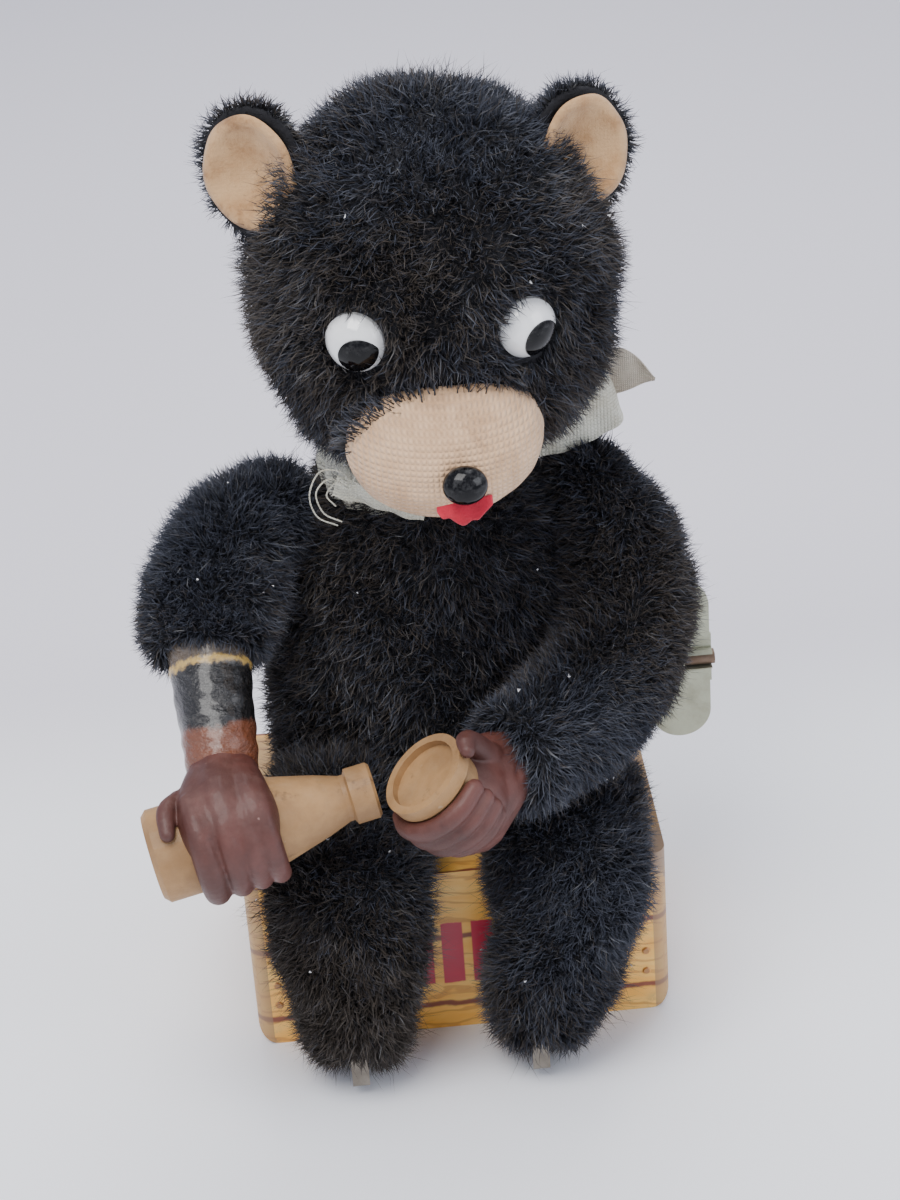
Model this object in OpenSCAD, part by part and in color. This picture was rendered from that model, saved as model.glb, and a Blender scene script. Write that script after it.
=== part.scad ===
// Wind-up drinking bear: a plush-covered bear with a clockwork motor in its body sits on a
// printed tin crate, with a milk bottle in one hand and a cup in the other.
// Millimetres, +Z up, the bear faces -Y, and the origin is at the centre of the crate's underside.
// Right and left are the bear's own, so its right side is at -X.

/* [Crate] */
// Width of the crate
crate_w = 80; // [70:1:96]
// Depth of the crate
crate_d = 56; // [50:1:68]
// Height of the crate
crate_h = 36; // [30:1:44]
// Radius of the crate's upright corners
corner_r = 3; // [2:0.5:4]
// Radius of the crate's rolled lower side edges
hem_r = 4; // [3:0.5:6]
// Thickness of the tin sheet
tin_t = 0.6; // [0.4:0.1:0.8]
// Diameter of the embossed nail heads on the crate
nail_d = 1.8; // [1.2:0.1:2.4]

/* [Body] */
// Height of the tin body above the crate
torso_h = 76; // [70:1:92]
// Greatest width of the tin body
torso_w = 59; // [55:1:64]
// Greatest depth of the tin body
torso_d = 40; // [38:1:46]
// How far the body sits behind the crate's middle
torso_back = 6; // [3:0.5:8]
// Thickness of the plush, cloth and packed pile together
plush_t = 3; // [2:0.25:3.5]

/* [Head] */
// Width of the tin head form
head_w = 56; // [52:1:66]
// Height of the tin head form
head_h = 60; // [56:1:68]
// Depth of the tin head form
head_d = 54; // [46:1:60]
// How far the head sits towards the bear's left
head_shift = 4.5; // [0:0.5:6]
// Diameter of the button eyes
eye_d = 10.6; // [8:0.2:12]
// Distance between the eyes' centres
eye_gap = 29.5; // [24:0.5:32]
// Width of the button nose
nose_w = 7.4; // [5:0.2:9]

/* [Arms and legs] */
// Radius of the plush sleeve at the shoulder
sleeve_r = 8; // [7:0.5:9]
// Length of the milk bottle
bottle_l = 41; // [36:1:46]
// Diameter of the milk bottle
bottle_d = 17; // [14:0.5:19]
// Diameter of the cup's rim
cup_d = 16.5; // [13:0.5:18]
// Depth of the cup
cup_h = 13; // [10:0.5:15]
// Width of the leg's plush at the knee
leg_w = 27; // [22:1:29]
// Clearance between the feet and the table
foot_clear = 3; // [1:0.5:6]

/* [Motor] */
// Distance between the outer faces of the motor's two plates
frame_w = 22; // [21.6:0.2:24]
// Thickness of the motor's plates
plate_t = 0.8; // [0.6:0.1:1]
// Gear module of the whole train
gear_m = 0.6; // [0.5:0.01:0.62]
// Teeth on the great wheel
great_teeth = 36; // [32:1:38]
// Teeth on the second wheel
second_teeth = 34; // [30:1:36]
// Teeth on the third wheel
third_teeth = 30; // [26:1:32]
// Diameter of the winding arbor
arbor_d = 3; // [2.4:0.1:3.4]
// Diameter of the train's other arbors
pivot_d = 1.6; // [1.2:0.1:2]
// Diameter of the shoulder shafts
shaft_d = 2.6; // [2:0.1:3]
// Span of the winding key from wing to wing
key_span = 35; // [30:1:38]
// Length of the key along its arbor
key_l = 12.4; // [10:0.2:14]

/* [Hidden] */

$fn = 48;
ring_n = 24;          // corners of a plush section
fit = 0.05;           // radial clearance of a shaft that turns in a hole
seat = 0.04;          // gap between pieces that are fixed to each other
free = 0.35;          // gap between soft pieces that move past each other
thin = 0.15;          // thickness of a section that a hull joins

// Heights and middles of the body, head and neck
torso_z = crate_h + torso_h;
body_shift = head_shift * 0.3;
head_y = torso_back - 8;
head_z = torso_z + head_h / 2 + 4.5;
head_c = [head_shift, head_y, head_z];
neck_pivot = [torso_back - 2, torso_z + 10];    // y and z of the nod axis

// The tin body's sections: share of its height, of its width and of its depth
torso_shape = [
  [0, 0.97, 0.96], [0.18, 1, 1], [0.4, 0.97, 1], [0.58, 0.88, 0.97], [0.74, 0.73, 0.92],
  [0.86, 0.57, 0.85], [0.93, 0.46, 0.74], [1, 0.34, 0.5]
];

// Motor: arbor places in y and z, the train's radii and the layers along x
function wheel_r(teeth) = gear_m * teeth / 2;
pinion_teeth = 10;
mesh_gap = 0.06;
key_y = torso_back + 3;
key_z = crate_h + 20;
function along(from, angle, far) = from + far * [sin(angle), cos(angle)];
arbor_1 = [key_y, key_z];
arbor_2 = along(arbor_1, -40, wheel_r(great_teeth + pinion_teeth) + mesh_gap);
arbor_3 = along(arbor_2, 50, wheel_r(second_teeth + pinion_teeth) + mesh_gap);
arbor_4 = along(arbor_3, 16, wheel_r(third_teeth + pinion_teeth) + mesh_gap);
frame_in = frame_w / 2 - plate_t;
wheel_t = 1.2;
great_x = 7.4;
second_x = -9;
third_x = 3.2;
escape_x = 8.4;
ratchet_x = great_x + wheel_t + 0.3;
spring_x = -0.6;
spring_w = 6.6;
bottle_cam_x = -6.2;
cup_cam_x = -3.6;
cam_t = 1.4;
frame_front = arbor_2[0] - 7.5;
frame_back = arbor_4[0] + 5;

// Shoulders
shoulder_y = torso_back - 2;
shoulder_share = 0.829;    // of the torso's height
shoulder_z = crate_h + shoulder_share * torso_h;
frame_top = shoulder_z + 5;
function torso_share(z, k) = lookup((z - crate_h) / torso_h, [for (s = torso_shape) [s[0], s[k]]]);
shoulder_x = torso_w / 2 * torso_share(shoulder_z, 1) + plush_t + free + sleeve_r;
right_shoulder = [body_shift - shoulder_x, shoulder_y, shoulder_z];
left_shoulder = [body_shift + shoulder_x, shoulder_y, shoulder_z];
shoulder = [shoulder_y, shoulder_z];

// Sleeves: places from the shoulder, with the sleeve's radius there
right_sleeve_path = [
  [0, 0, 0, sleeve_r], [-8, -7, -3, sleeve_r + 2], [-12.4, -15, -10, sleeve_r + 3],
  [-13.4, -22.5, -16.5, sleeve_r + 1.6]
];
left_sleeve_path = [
  [0, 0, 0, sleeve_r], [5.4, -6, -12, sleeve_r + 2.6], [3.4, -16, -26, sleeve_r + 3.4],
  [-7, -31, -32, sleeve_r + 2.4], [-20, -43.5, -31.5, sleeve_r + 0.6]
];
right_elbow = right_shoulder + [-13.6, -19, -13];
right_wrist = right_shoulder + [-12.4, -41, -30.5];
right_grip = right_shoulder + [-11.4, -51, -37.5];
left_wrist = left_shoulder + [-19, -42.5, -31.5];
left_grip = left_shoulder + [-31, -52, -33];
forearm_r = 7.4;
bottle_lift = 24;     // degrees that each arm lifts through
cup_lift = 40;
wrist_r = 5.9;

// Bottle and cup: where their ends are, from the hand that holds them
bottle_base = right_grip + [-14.2, -2.6, -1.6];
bottle_way = [0.975, 0.13, 0.16];
cup_rim = left_grip + [-4.8, -2.8, 7];
cup_way = [-0.594, -0.158, 0.789];

// Legs: the path of the plush, with its half width and half thickness
knee_r = leg_w / 2;
leg_front = -crate_d / 2 - 10;
function leg_path(side, foot_x) = [
  [side * 19.5, -crate_d / 2 + 15, crate_h + 10, knee_r + 0.5, 10],
  [side * 20.5, -crate_d / 2 + 4, crate_h + 9, knee_r + 0.5, 10.5],
  [side * 20.5, leg_front + 3.5, crate_h + 1.5, knee_r, 10.5],
  [lerp(side * 20.5, foot_x, 0.3), leg_front, crate_h * 0.67, knee_r - 1.2, 9.5],
  [lerp(side * 20.5, foot_x, 0.75), leg_front - 0.5, crate_h * 0.33, knee_r - 3.8, 8.6],
  [foot_x, leg_front - 1.5, foot_clear + 2.5, knee_r - 7, 6.5]
];
right_foot_x = -21;
left_foot_x = 13;
stay_w = 3.2;
stay_t = 0.7;

// Head parts
muzzle_c = head_c + [-0.7, -head_d / 2 + 0.5, -19.8];
muzzle_size = [17.5, 16.5, 11.5];
muzzle_tilt = [14, -5, 0];
eye_z = head_z - 1;
ear_r = [9.6, 11.8];

function lerp(a, b, t) = a + (b - a) * t;
function spline(a, b, c, d, t) =
  0.5 * (2 * b + (c - a) * t + (2 * a - 5 * b + 4 * c - d) * t * t + (3 * b - a - 3 * c + d) * t * t * t);
function smooth(p, n) = [
  for (i = [0:len(p) - 2]) for (k = [0:n - 1])
    spline(p[max(i - 1, 0)], p[i], p[i + 1], p[min(i + 2, len(p) - 1)], k / n),
  p[len(p) - 1]
];
function place(s) = [s[0], s[1], s[2]];
function moved(path, by) = [
  for (s = path) concat(place(s) + by, [for (k = [3:1:len(s) - 1]) s[k]])
];

// Turns +Z to the direction given, by the shortest way
module aim(way) {
  turn = atan2(way[1], way[0]);
  lean = acos(way[2] / norm(way));
  rotate([0, 0, turn]) rotate([0, lean, 0]) rotate([0, 0, -turn]) children();
}

// Puts a shape drawn in y and z, and extruded, at x with its middle at a point in y and z
module across(x, at) {
  translate([x, at[0], at[1]]) rotate([90, 0, 90]) children();
}

module rod_x(x0, x1, at, d) {
  across(x0, at) cylinder(d = d, h = x1 - x0);
}

module round_rect(w, d, r) {
  square([w - 2 * r, d], center = true);
  square([w, d - 2 * r], center = true);
  for (x = [-1, 1], y = [-1, 1]) translate([x * (w / 2 - r), y * (d / 2 - r)]) circle(r);
}

// A soft limb through sections [x, y, z, half width, half thickness]
module limb(path, grow = 0, steps = 3) {
  p = smooth(path, steps);
  last = len(p) - 1;
  for (i = [0:last - 1]) hull() for (k = [i, i + 1]) {
    way = place(p[min(k + 1, last)]) - place(p[max(k - 1, 0)]);
    across_r = p[k][3] + grow;
    deep_r = (len(p[k]) > 4 ? p[k][4] : p[k][3]) + grow;
    translate(place(p[k])) aim(way) scale([across_r, deep_r, 1])
      cylinder(r = 1, h = thin, center = true, $fn = ring_n);
  }
}

// An egg of horizontal sections; low powers make the lower half fuller than an ellipsoid
module egg(c, size, low = [1, 1], slices = 12) {
  for (i = [0:slices - 1]) hull() for (k = [i, i + 1]) {
    a = lerp(-86, 86, k / slices);
    w = [for (n = [0, 1]) size[n] * pow(cos(a), a < 0 ? low[n] : 1)];
    translate(c + [0, 0, size[2] * sin(a)]) scale([w[0], w[1], 1])
      cylinder(r = 1, h = thin, center = true, $fn = ring_n);
  }
}

// ---- Crate ----

module crate_block(inset) {
  w = crate_w - 2 * inset;
  d = crate_d - 2 * inset;
  r = max(hem_r - inset, 0.5);
  intersection() {
    linear_extrude(crate_h - inset) round_rect(w, d, max(corner_r - inset, 0.5));
    translate([0, d / 2, 0]) rotate([90, 0, 0]) linear_extrude(d) union() {
      translate([-w / 2, inset + r]) square([w, crate_h]);
      translate([-w / 2 + r, inset]) square([w - 2 * r, r]);
      for (s = [-1, 1]) translate([s * (w / 2 - r), inset + r]) circle(r);
    }
  }
}

crate_floor_w = crate_w - 2 * hem_r;
crate_floor_d = crate_d - 2 * tin_t;
screw_d = 2;
frame_foot = 5;
screw_y = [frame_front + 5, frame_back - 5];

module crate_shell() {
  color("goldenrod") difference() {
    union() {
      crate_block(0);
      for (side = [-1, 1], z = [0.25, 0.38, 0.58, 0.72]) for (x = [-1, 1])
        translate([x * (crate_w / 2 - 4.5), side * (crate_d / 2 - 0.1), z * crate_h])
          rotate([-side * 90, 0, 0]) cylinder(d1 = nail_d, d2 = nail_d * 0.6, h = 0.4);
    }
    crate_block(tin_t);
    translate([-crate_floor_w / 2, -crate_floor_d / 2, -1])
      cube([crate_floor_w, crate_floor_d, 1 + 2 * tin_t]);
    for (x = [-1, 1], y = screw_y)
      translate([x * (frame_w / 2 + frame_foot / 2), y, crate_h - 2 * tin_t])
        cylinder(d = screw_d + 2 * fit, h = 3 * tin_t);
  }
}

module crate_base_plate() {
  color("silver") difference() {
    translate([-crate_floor_w / 2 + seat, -crate_floor_d / 2 + seat, 0])
      cube([crate_floor_w - 2 * seat, crate_floor_d - 2 * seat, tin_t]);
    for (x = [-1, 1]) translate([x * crate_floor_w / 4, 0, -1]) cylinder(d = 5, h = 3);
  }
}

// ---- Motor frame ----

module frame_holes(x) {
  rod_x(x - 1, x + 2, arbor_1, arbor_d + 2 * fit);
  for (a = [arbor_2, arbor_3, arbor_4, verge_at]) rod_x(x - 1, x + 2, a, pivot_d + 2 * fit);
  rod_x(x - 1, x + 2, shoulder, shaft_d + 2 * fit);
}

module frame_plate(side) {
  x = side > 0 ? frame_in : -frame_in - plate_t;
  foot_x = side > 0 ? frame_in : -frame_w / 2 - frame_foot;
  color("lightsteelblue") difference() {
    union() {
      across(x, [0, 0]) linear_extrude(plate_t) polygon([
        [frame_front, crate_h + seat], [frame_back, crate_h + seat], [frame_back, arbor_4[1] + 4],
        [frame_back - 4, frame_top], [frame_front + 4, frame_top], [frame_front, frame_top - 14]
      ]);
      translate([foot_x, frame_front, crate_h + seat])
        cube([frame_foot + plate_t, frame_back - frame_front, plate_t]);
    }
    frame_holes(x);
    for (a = pillars) rod_x(x - 1, x + 2, a, pillar_d - 0.8 + 2 * seat);
    for (y = screw_y) translate([side * (frame_w / 2 + frame_foot / 2), y, crate_h - 1])
      cylinder(d = screw_d + 2 * fit, h = 4);
  }
}

pillar_d = 2.6;
pillars = [
  [frame_front + 2, crate_h + 4], [frame_back - 2, crate_h + 4],
  [frame_front + 3, frame_top - 14], [frame_back - 5, shoulder_z + (shaft_d + pillar_d) / 2 + 0.8]
];

module frame_pillars() {
  color("silver") for (a = pillars) {
    rod_x(-frame_in + seat, frame_in - seat, a, pillar_d);
    rod_x(-frame_w / 2 - 0.5, frame_w / 2 + 0.5, a, pillar_d - 0.8);
  }
}

module frame_screws() {
  color("silver") for (x = [-1, 1], y = screw_y)
    translate([x * (frame_w / 2 + frame_foot / 2), y, crate_h]) {
      translate([0, 0, -4]) cylinder(d = screw_d, h = 4 + seat + plate_t + 0.1);
      translate([0, 0, plate_t + 2 * seat]) cylinder(d = screw_d * 1.7, h = 1);
    }
}

// The mainspring's strip, a spiral about the winding arbor
spring_in = arbor_d / 2 + 1;
spring_out = wheel_r(great_teeth) - 1;
spring_turns = 5;
spring_strip = 0.4;
function spiral(side) = [
  for (a = [0:15:360 * spring_turns])
    let (r = lerp(spring_in, spring_out, a / 360 / spring_turns) + side * spring_strip / 2)
      r * [cos(a), sin(a)]
];
function reversed(p) = [for (i = [len(p) - 1:-1:0]) p[i]];

module mainspring() {
  color("dimgray") across(spring_x, arbor_1) linear_extrude(spring_w)
    polygon(concat(spiral(1), reversed(spiral(-1))));
}

// ---- Gears ----

pressure = 20;
backlash = 0.09;
function inv(a) = tan(a) * 180 / PI - a;
function half_tooth(teeth, r) =
  let (pitch = wheel_r(teeth), base = pitch * cos(pressure),
       at = r > base ? acos(base / r) : 0)
    (PI * gear_m / 2 - backlash) / (2 * pitch) * 180 / PI + inv(pressure) - inv(at);

module gear_profile(teeth, bore, turn, tip = 0.75) {
  pitch = wheel_r(teeth);
  radii = [pitch - 1.2 * gear_m, pitch - 0.45 * gear_m, pitch, pitch + tip * gear_m];
  difference() {
    rotate(turn) polygon([
      for (i = [0:teeth - 1]) let (mid = 360 * i / teeth) each concat(
        [for (r = radii) r * [cos(mid - half_tooth(teeth, r)), sin(mid - half_tooth(teeth, r))]],
        [for (r = reversed(radii)) r * [cos(mid + half_tooth(teeth, r)), sin(mid + half_tooth(teeth, r))]]
      )
    ]);
    if (bore > 0) circle(d = bore);
  }
}

// The turn that points a tooth of one gear, or a gap of the other, along the line of centres
function centre_line(a, b) = atan2(b[1] - a[1], b[0] - a[0]);
function gap_turn(a, b, teeth) = centre_line(a, b) + 180 / teeth;

module spoked_wheel(teeth, bore, turn) {
  pitch = wheel_r(teeth);
  difference() {
    gear_profile(teeth, bore, turn);
    for (k = [0:3]) rotate(45 + 90 * k) translate([pitch * 0.56, 0]) circle(pitch * 0.22);
  }
}

module great_wheel() {
  color("goldenrod") across(great_x, arbor_1) linear_extrude(wheel_t)
    spoked_wheel(great_teeth, arbor_d + 2 * fit, centre_line(arbor_1, arbor_2));
}

module pinion_arbor(at, pinion_x, pinion_w, turn) {
  color("silver") {
    rod_x(-frame_w / 2 - 0.4, frame_w / 2 + 0.4, at, pivot_d);
    across(pinion_x, at) linear_extrude(pinion_w) gear_profile(pinion_teeth, 0, turn);
  }
}

module cam_arbor() {
  pinion_arbor(arbor_2, great_x - 0.5, wheel_t + 1, gap_turn(arbor_2, arbor_1, pinion_teeth));
}

module second_wheel() {
  color("goldenrod") across(second_x, arbor_2) linear_extrude(wheel_t)
    spoked_wheel(second_teeth, pivot_d + 2 * seat, centre_line(arbor_2, arbor_3));
}

module third_arbor() {
  pinion_arbor(arbor_3, second_x - 0.5, wheel_t + 1, gap_turn(arbor_3, arbor_2, pinion_teeth));
}

module third_wheel() {
  color("goldenrod") across(third_x, arbor_3) linear_extrude(wheel_t)
    spoked_wheel(third_teeth, pivot_d + 2 * seat, centre_line(arbor_3, arbor_4));
}

module escape_arbor() {
  pinion_arbor(arbor_4, third_x - 0.5, wheel_t + 1, gap_turn(arbor_4, arbor_3, pinion_teeth));
}

escape_teeth = 12;
escape_r = 4.2;
module escape_wheel() {
  color("goldenrod") across(escape_x, arbor_4) linear_extrude(wheel_t) difference() {
    polygon([
      for (i = [0:escape_teeth - 1]) let (a = 360 * i / escape_teeth) each [
        0.68 * escape_r * [cos(a), sin(a)], escape_r * [cos(a + 9), sin(a + 9)],
        0.68 * escape_r * [cos(a + 12), sin(a + 12)]
      ]
    ]);
    circle(d = pivot_d + 2 * seat);
  }
}

// The verge rocks over the escape wheel, with a weight on its tail
verge_at = arbor_4 + [0.4, 7.6];
verge_span = 3.6;
module verge() {
  color("silver") {
    rod_x(-frame_w / 2 - 0.4, frame_w / 2 + 0.4, verge_at, pivot_d);
    across(escape_x, verge_at) linear_extrude(wheel_t) union() {
      circle(d = pivot_d + 1.6);
      translate([-verge_span, -0.8]) square([2 * verge_span, 1.4]);
      for (s = [-1, 1]) translate([s * (verge_span - 0.4) - 0.4, -3.6]) square([0.8, 3]);
    }
  }
}

// Egg-shaped cams that pull the arm rods
cam_base_r = 2.6;
cam_lift = 3.2;
module cam(x, turn) {
  color("gray") across(x, arbor_2) linear_extrude(cam_t) rotate(turn) difference() {
    union() {
      circle(cam_base_r);
      translate([cam_lift / 2, 0]) circle(cam_base_r - 0.5);
      translate([cam_lift - 0.6, 0]) circle(cam_base_r - 1.2);
    }
    circle(d = pivot_d + 2 * seat);
  }
}
module bottle_cam() { cam(bottle_cam_x, 40); }
module cup_cam() { cam(cup_cam_x, 220); }

// ---- Winding ----

module winding_arbor() {
  color("saddlebrown") {
    rod_x(-frame_w / 2 - 0.4, key_x1 - key_l * 0.55, arbor_1, arbor_d);
    intersection() {
      rod_x(key_x1 - key_l * 0.6, key_x1 + 0.6, arbor_1, arbor_d);
      translate([key_x0, arbor_1[0] - arbor_d / 2, arbor_1[1] - arbor_d * 0.4])
        cube([key_l + 2, arbor_d, arbor_d * 0.8]);
    }
  }
}

key_x0 = crate_w / 2 + 2.2;
key_x1 = key_x0 + key_l;
key_hub_d = arbor_d + 2;
module winding_key() {
  wing_r = key_l / 2 - 0.3;
  color("darkkhaki") difference() {
    union() {
      translate([key_x0 + key_l / 2, arbor_1[0] + 0.4, arbor_1[1]]) rotate([90, 0, 0])
        linear_extrude(0.8) {
          for (s = [-1, 1]) translate([0, s * (key_span / 2 - wing_r)]) circle(wing_r);
          square([2 * wing_r, key_span - 2 * wing_r], center = true);
          square([key_l, key_span * 0.3], center = true);
        }
      rod_x(key_x0 - 1, key_x1, arbor_1, key_hub_d);
    }
    rod_x(key_x0 - 2, key_x1 + 1, arbor_1, arbor_d + 2 * seat);
    translate([key_x1 - key_l * 0.45, arbor_1[0] - key_hub_d, arbor_1[1] - arbor_d * 0.5])
      cube([key_l * 0.46, key_hub_d, arbor_d]);
  }
}

// The ratchet is a saw-toothed disc on the arbor, and the click drops behind each tooth
ratchet_teeth = 12;
ratchet_r = 5;
ratchet_root = 4;
ratchet_t = 1;
module ratchet_wheel() {
  color("silver") across(ratchet_x, arbor_1) linear_extrude(ratchet_t) difference() {
    polygon([
      for (i = [0:ratchet_teeth - 1]) let (a = 360 * i / ratchet_teeth) each [
        ratchet_root * [cos(a), sin(a)],
        ratchet_r * [cos(a + 360 / ratchet_teeth - 0.5), sin(a + 360 / ratchet_teeth - 0.5)]
      ]
    ]);
    circle(d = arbor_d + 2 * seat);
  }
}

click_pivot = (ratchet_r + 3.2) * [cos(40), sin(40)];
module click() {
  nose = [ratchet_root + 0.28, 0.4];
  way = (click_pivot - nose) / norm(click_pivot - nose);
  side = [way[1], -way[0]];
  color("dimgray") {
    across(ratchet_x, arbor_1) linear_extrude(ratchet_t) {
      polygon([nose, click_pivot + side, click_pivot - side]);
      translate(click_pivot) circle(1);
    }
    across(ratchet_x - 0.3 + seat, arbor_1 + click_pivot) cylinder(d = 1.2, h = 0.5);
  }
}

// ---- Tin body and plush ----

module torso(grow) {
  p = [for (s = torso_shape) [body_shift, torso_back, crate_h + s[0] * torso_h,
                              s[1] * torso_w / 2, s[2] * torso_d / 2]];
  q = smooth(p, 2);
  for (i = [0:len(q) - 2]) hull() for (k = [i, i + 1])
    translate([body_shift, torso_back, q[k][2] + (k == len(q) - 1 ? grow : 0)])
      scale([q[k][3] + grow, q[k][4] + grow, 1])
        cylinder(r = 1, h = thin, center = true, $fn = ring_n);
}

module torso_bores(extra) {
  rod_x(0, torso_w, arbor_1, arbor_d + extra);
  rod_x(-torso_w, torso_w, shoulder, shaft_d + extra);
  translate([0, neck_pivot[0], torso_z - 12]) cylinder(d = neck_d + extra, h = 30);
}

module body_shell(front) {
  color("silver") difference() {
    torso(0);
    torso(-tin_t);
    translate([-torso_w, -torso_d, crate_h - 2]) cube([2 * torso_w, 3 * torso_d, 2 + 2 * seat]);
    translate([-torso_w, torso_back + (front ? 0 : -2 * torso_d), crate_h - 1])
      cube([2 * torso_w, 2 * torso_d, torso_h + 10]);
    torso_bores(1);
  }
}
module body_shell_front() { body_shell(true); }
module body_shell_back() {
  translate([0, seat, 0]) body_shell(false);
}

module torso_plush() {
  color("black") difference() {
    torso(plush_t);
    torso(0.15);
    translate([-torso_w, -torso_d, crate_h - 2]) cube([2 * torso_w, 3 * torso_d, 2 + 2 * seat]);
    torso_bores(1);
  }
}

neck_d = 5;
neck_post_top = neck_pivot[1] + 3;
module neck_post() {
  foot_z = frame_top + 1;
  color("lightsteelblue") difference() {
    union() {
      translate([0, neck_pivot[0], foot_z]) cylinder(d = neck_d, h = neck_post_top - foot_z - 1);
      translate([-frame_w / 2, neck_pivot[0] - 3, frame_top + seat]) cube([frame_w, 6, 1.2]);
      rod_x(-neck_d / 2 - 0.6, neck_d / 2 + 0.6, neck_pivot, 6);
    }
    rod_x(-neck_d, neck_d, neck_pivot, pin_d + 2 * fit);
  }
}

// ---- Legs ----

module leg_stay_shape(side, foot_x, grow) {
  drop = crate_h - foot_clear - 2;
  path = [
    [side * 19, -crate_d / 2 + 6, crate_h + 1.4], [side * 20, leg_front + 5, crate_h + 1.4],
    [side * 20.5, leg_front, crate_h - 4], [lerp(side * 20.5, foot_x, 0.85), leg_front - 1, 14],
    [foot_x, leg_front - 7.5, foot_clear + 6.5], [foot_x, leg_front - 8.6, foot_clear]
  ];
  for (i = [0:len(path) - 2]) hull() for (k = [i, i + 1])
    translate(path[k]) rotate([0, 90, 0])
      cylinder(d = stay_t + 2 * grow, h = stay_w + 2 * grow, center = true, $fn = 16);
}

module leg_plush(side, foot_x) {
  color("black") difference() {
    limb(leg_path(side, foot_x));
    torso(plush_t + 0.1);
    translate([-crate_w / 2 - 0.1, -crate_d / 2 - 0.1, -1])
      cube([crate_w + 0.2, crate_d, crate_h + 1.1]);
    leg_stay_shape(side, foot_x, 0.15);
  }
}
module right_leg_plush() { leg_plush(-1, right_foot_x); }
module left_leg_plush() { leg_plush(1, left_foot_x); }
module right_leg_stay() { color("dimgray") leg_stay_shape(-1, right_foot_x, 0); }
module left_leg_stay() { color("dimgray") leg_stay_shape(1, left_foot_x, 0); }

// ---- Collar ----

collar_r = torso_w / 2 * 0.4 + plush_t + 0.6;
collar_y = torso_back;
collar_z = torso_z + 0.5;
module collar_ribbon() {
  color("honeydew") translate([body_shift, collar_y, collar_z - 4]) difference() {
    cylinder(r = collar_r + 5, h = 4);
    translate([0, 0, -1]) cylinder(r = collar_r + 4.2, h = 6);
  }
}

module collar_bow() {
  color("honeydew") limb(moved([
    [0, -2, 0, 1.8, 0.8], [6, -1, 1, 3, 0.8], [14, 0, 4, 4, 0.9], [23, 1, 8, 3, 0.7]
  ], [body_shift + collar_r + 5.3, collar_y, collar_z - 2]));
}

// ---- Right arm ----

// A short crank on each shoulder shaft, for the rod that a cam pulls
crank_l = 7;
crank_turn = 24;
module crank(x) {
  across(x, shoulder) linear_extrude(crank_t) difference() {
    union() {
      circle(d = shaft_d + 2);
      rotate(crank_turn) translate([0, -1]) square([crank_l, 2]);
      rotate(crank_turn) translate([crank_l, 0]) circle(1.4);
    }
    rotate(crank_turn) translate([crank_l, 0]) circle(d = 1);
  }
}
crank_t = 0.9;

module right_shoulder_shaft() {
  color("silver") {
    rod_x(right_shoulder[0] - 2, bottle_cam_x + crank_t + 0.2, shoulder, shaft_d);
    crank(bottle_cam_x);
  }
}

module arm_strip(points, grow = 0) {
  for (i = [0:len(points) - 2]) hull() for (k = [i, i + 1])
    translate(points[k]) sphere(r = 1 + grow, $fn = 12);
}

module right_arm_stay() {
  color("silver") difference() {
    arm_strip(right_arm_points);
    rod_x(-shoulder_x - 3, 0, shoulder, shaft_d + 2 * seat);
  }
}
right_arm_points = [
  right_shoulder, right_shoulder + [-8, -7, -3.5], right_elbow, lerp(right_elbow, right_wrist, 0.7)
];

// A padded plush sleeve; the children are cut out of it
module sleeve(path) {
  color("black") difference() {
    union() {
      limb(path);
      translate(place(path[0])) sphere(r = path[0][3], $fn = ring_n);
    }
    children();
  }
}

module shoulder_passage() {
  rod_x(-shoulder_x - sleeve_r, shoulder_x + sleeve_r, shoulder, shaft_d + 1);
}

// The plush body as an arm passes it, from rest to the angle it lifts through
lift_step = 8;
module body_passed(lift) {
  for (a = [0:lift_step:lift]) translate([0, shoulder_y, shoulder_z]) rotate([a, 0, 0])
    translate([0, -shoulder_y, -shoulder_z]) torso(plush_t + free);
}

module right_sleeve() {
  sleeve(moved(right_sleeve_path, right_shoulder)) {
    shoulder_passage();
    body_passed(bottle_lift);
    arm_strip(right_arm_points, 0.15);
    taper(right_elbow, lerp(right_elbow, right_wrist, 2), forearm_r, forearm_r);
  }
}

module taper(a, b, ra, rb) {
  translate(a) aim(b - a) cylinder(r1 = ra, r2 = rb, h = norm(b - a));
}

// Soft vinyl cuff of the hand, which runs up into the sleeve
module right_forearm() {
  color("sienna") difference() {
    taper(right_elbow, right_wrist, forearm_r - 0.6, wrist_r - 0.5);
    taper(lerp(right_elbow, right_wrist, -0.02), lerp(right_elbow, right_wrist, 1.02),
          forearm_r - 1.9, wrist_r - 1.7);
    right_hand_form(seat);
  }
}

module forearm_tape() {
  from = lerp(right_elbow, right_wrist, 0.3);
  to = lerp(right_elbow, right_wrist, 0.97);
  from_r = lerp(forearm_r, wrist_r, 0.3);
  color("tan", 0.6) difference() {
    taper(from, to, from_r - 0.3, wrist_r - 0.2);
    taper(lerp(from, to, -0.01), lerp(from, to, 1.01), from_r - 0.5, wrist_r - 0.4);
    right_hand_form(seat);
  }
}

module bottle_shape(grow) {
  r = bottle_d / 2 + grow;
  neck_r = 4.2 + grow;
  translate(bottle_base) aim(bottle_way) rotate_extrude() polygon([
    [0, -grow], [r - 1, -grow], [r, 1], [r, bottle_l * 0.46], [r - 0.7, bottle_l * 0.56],
    [neck_r + 1.4, bottle_l * 0.76], [neck_r, bottle_l * 0.86], [neck_r, bottle_l * 0.88],
    [neck_r + 0.9, bottle_l * 0.89], [neck_r + 0.9, bottle_l + grow - 0.5],
    [neck_r + 0.4, bottle_l + grow], [0, bottle_l + grow]
  ]);
}

module milk_bottle() { color("burlywood") bottle_shape(0); }

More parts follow.
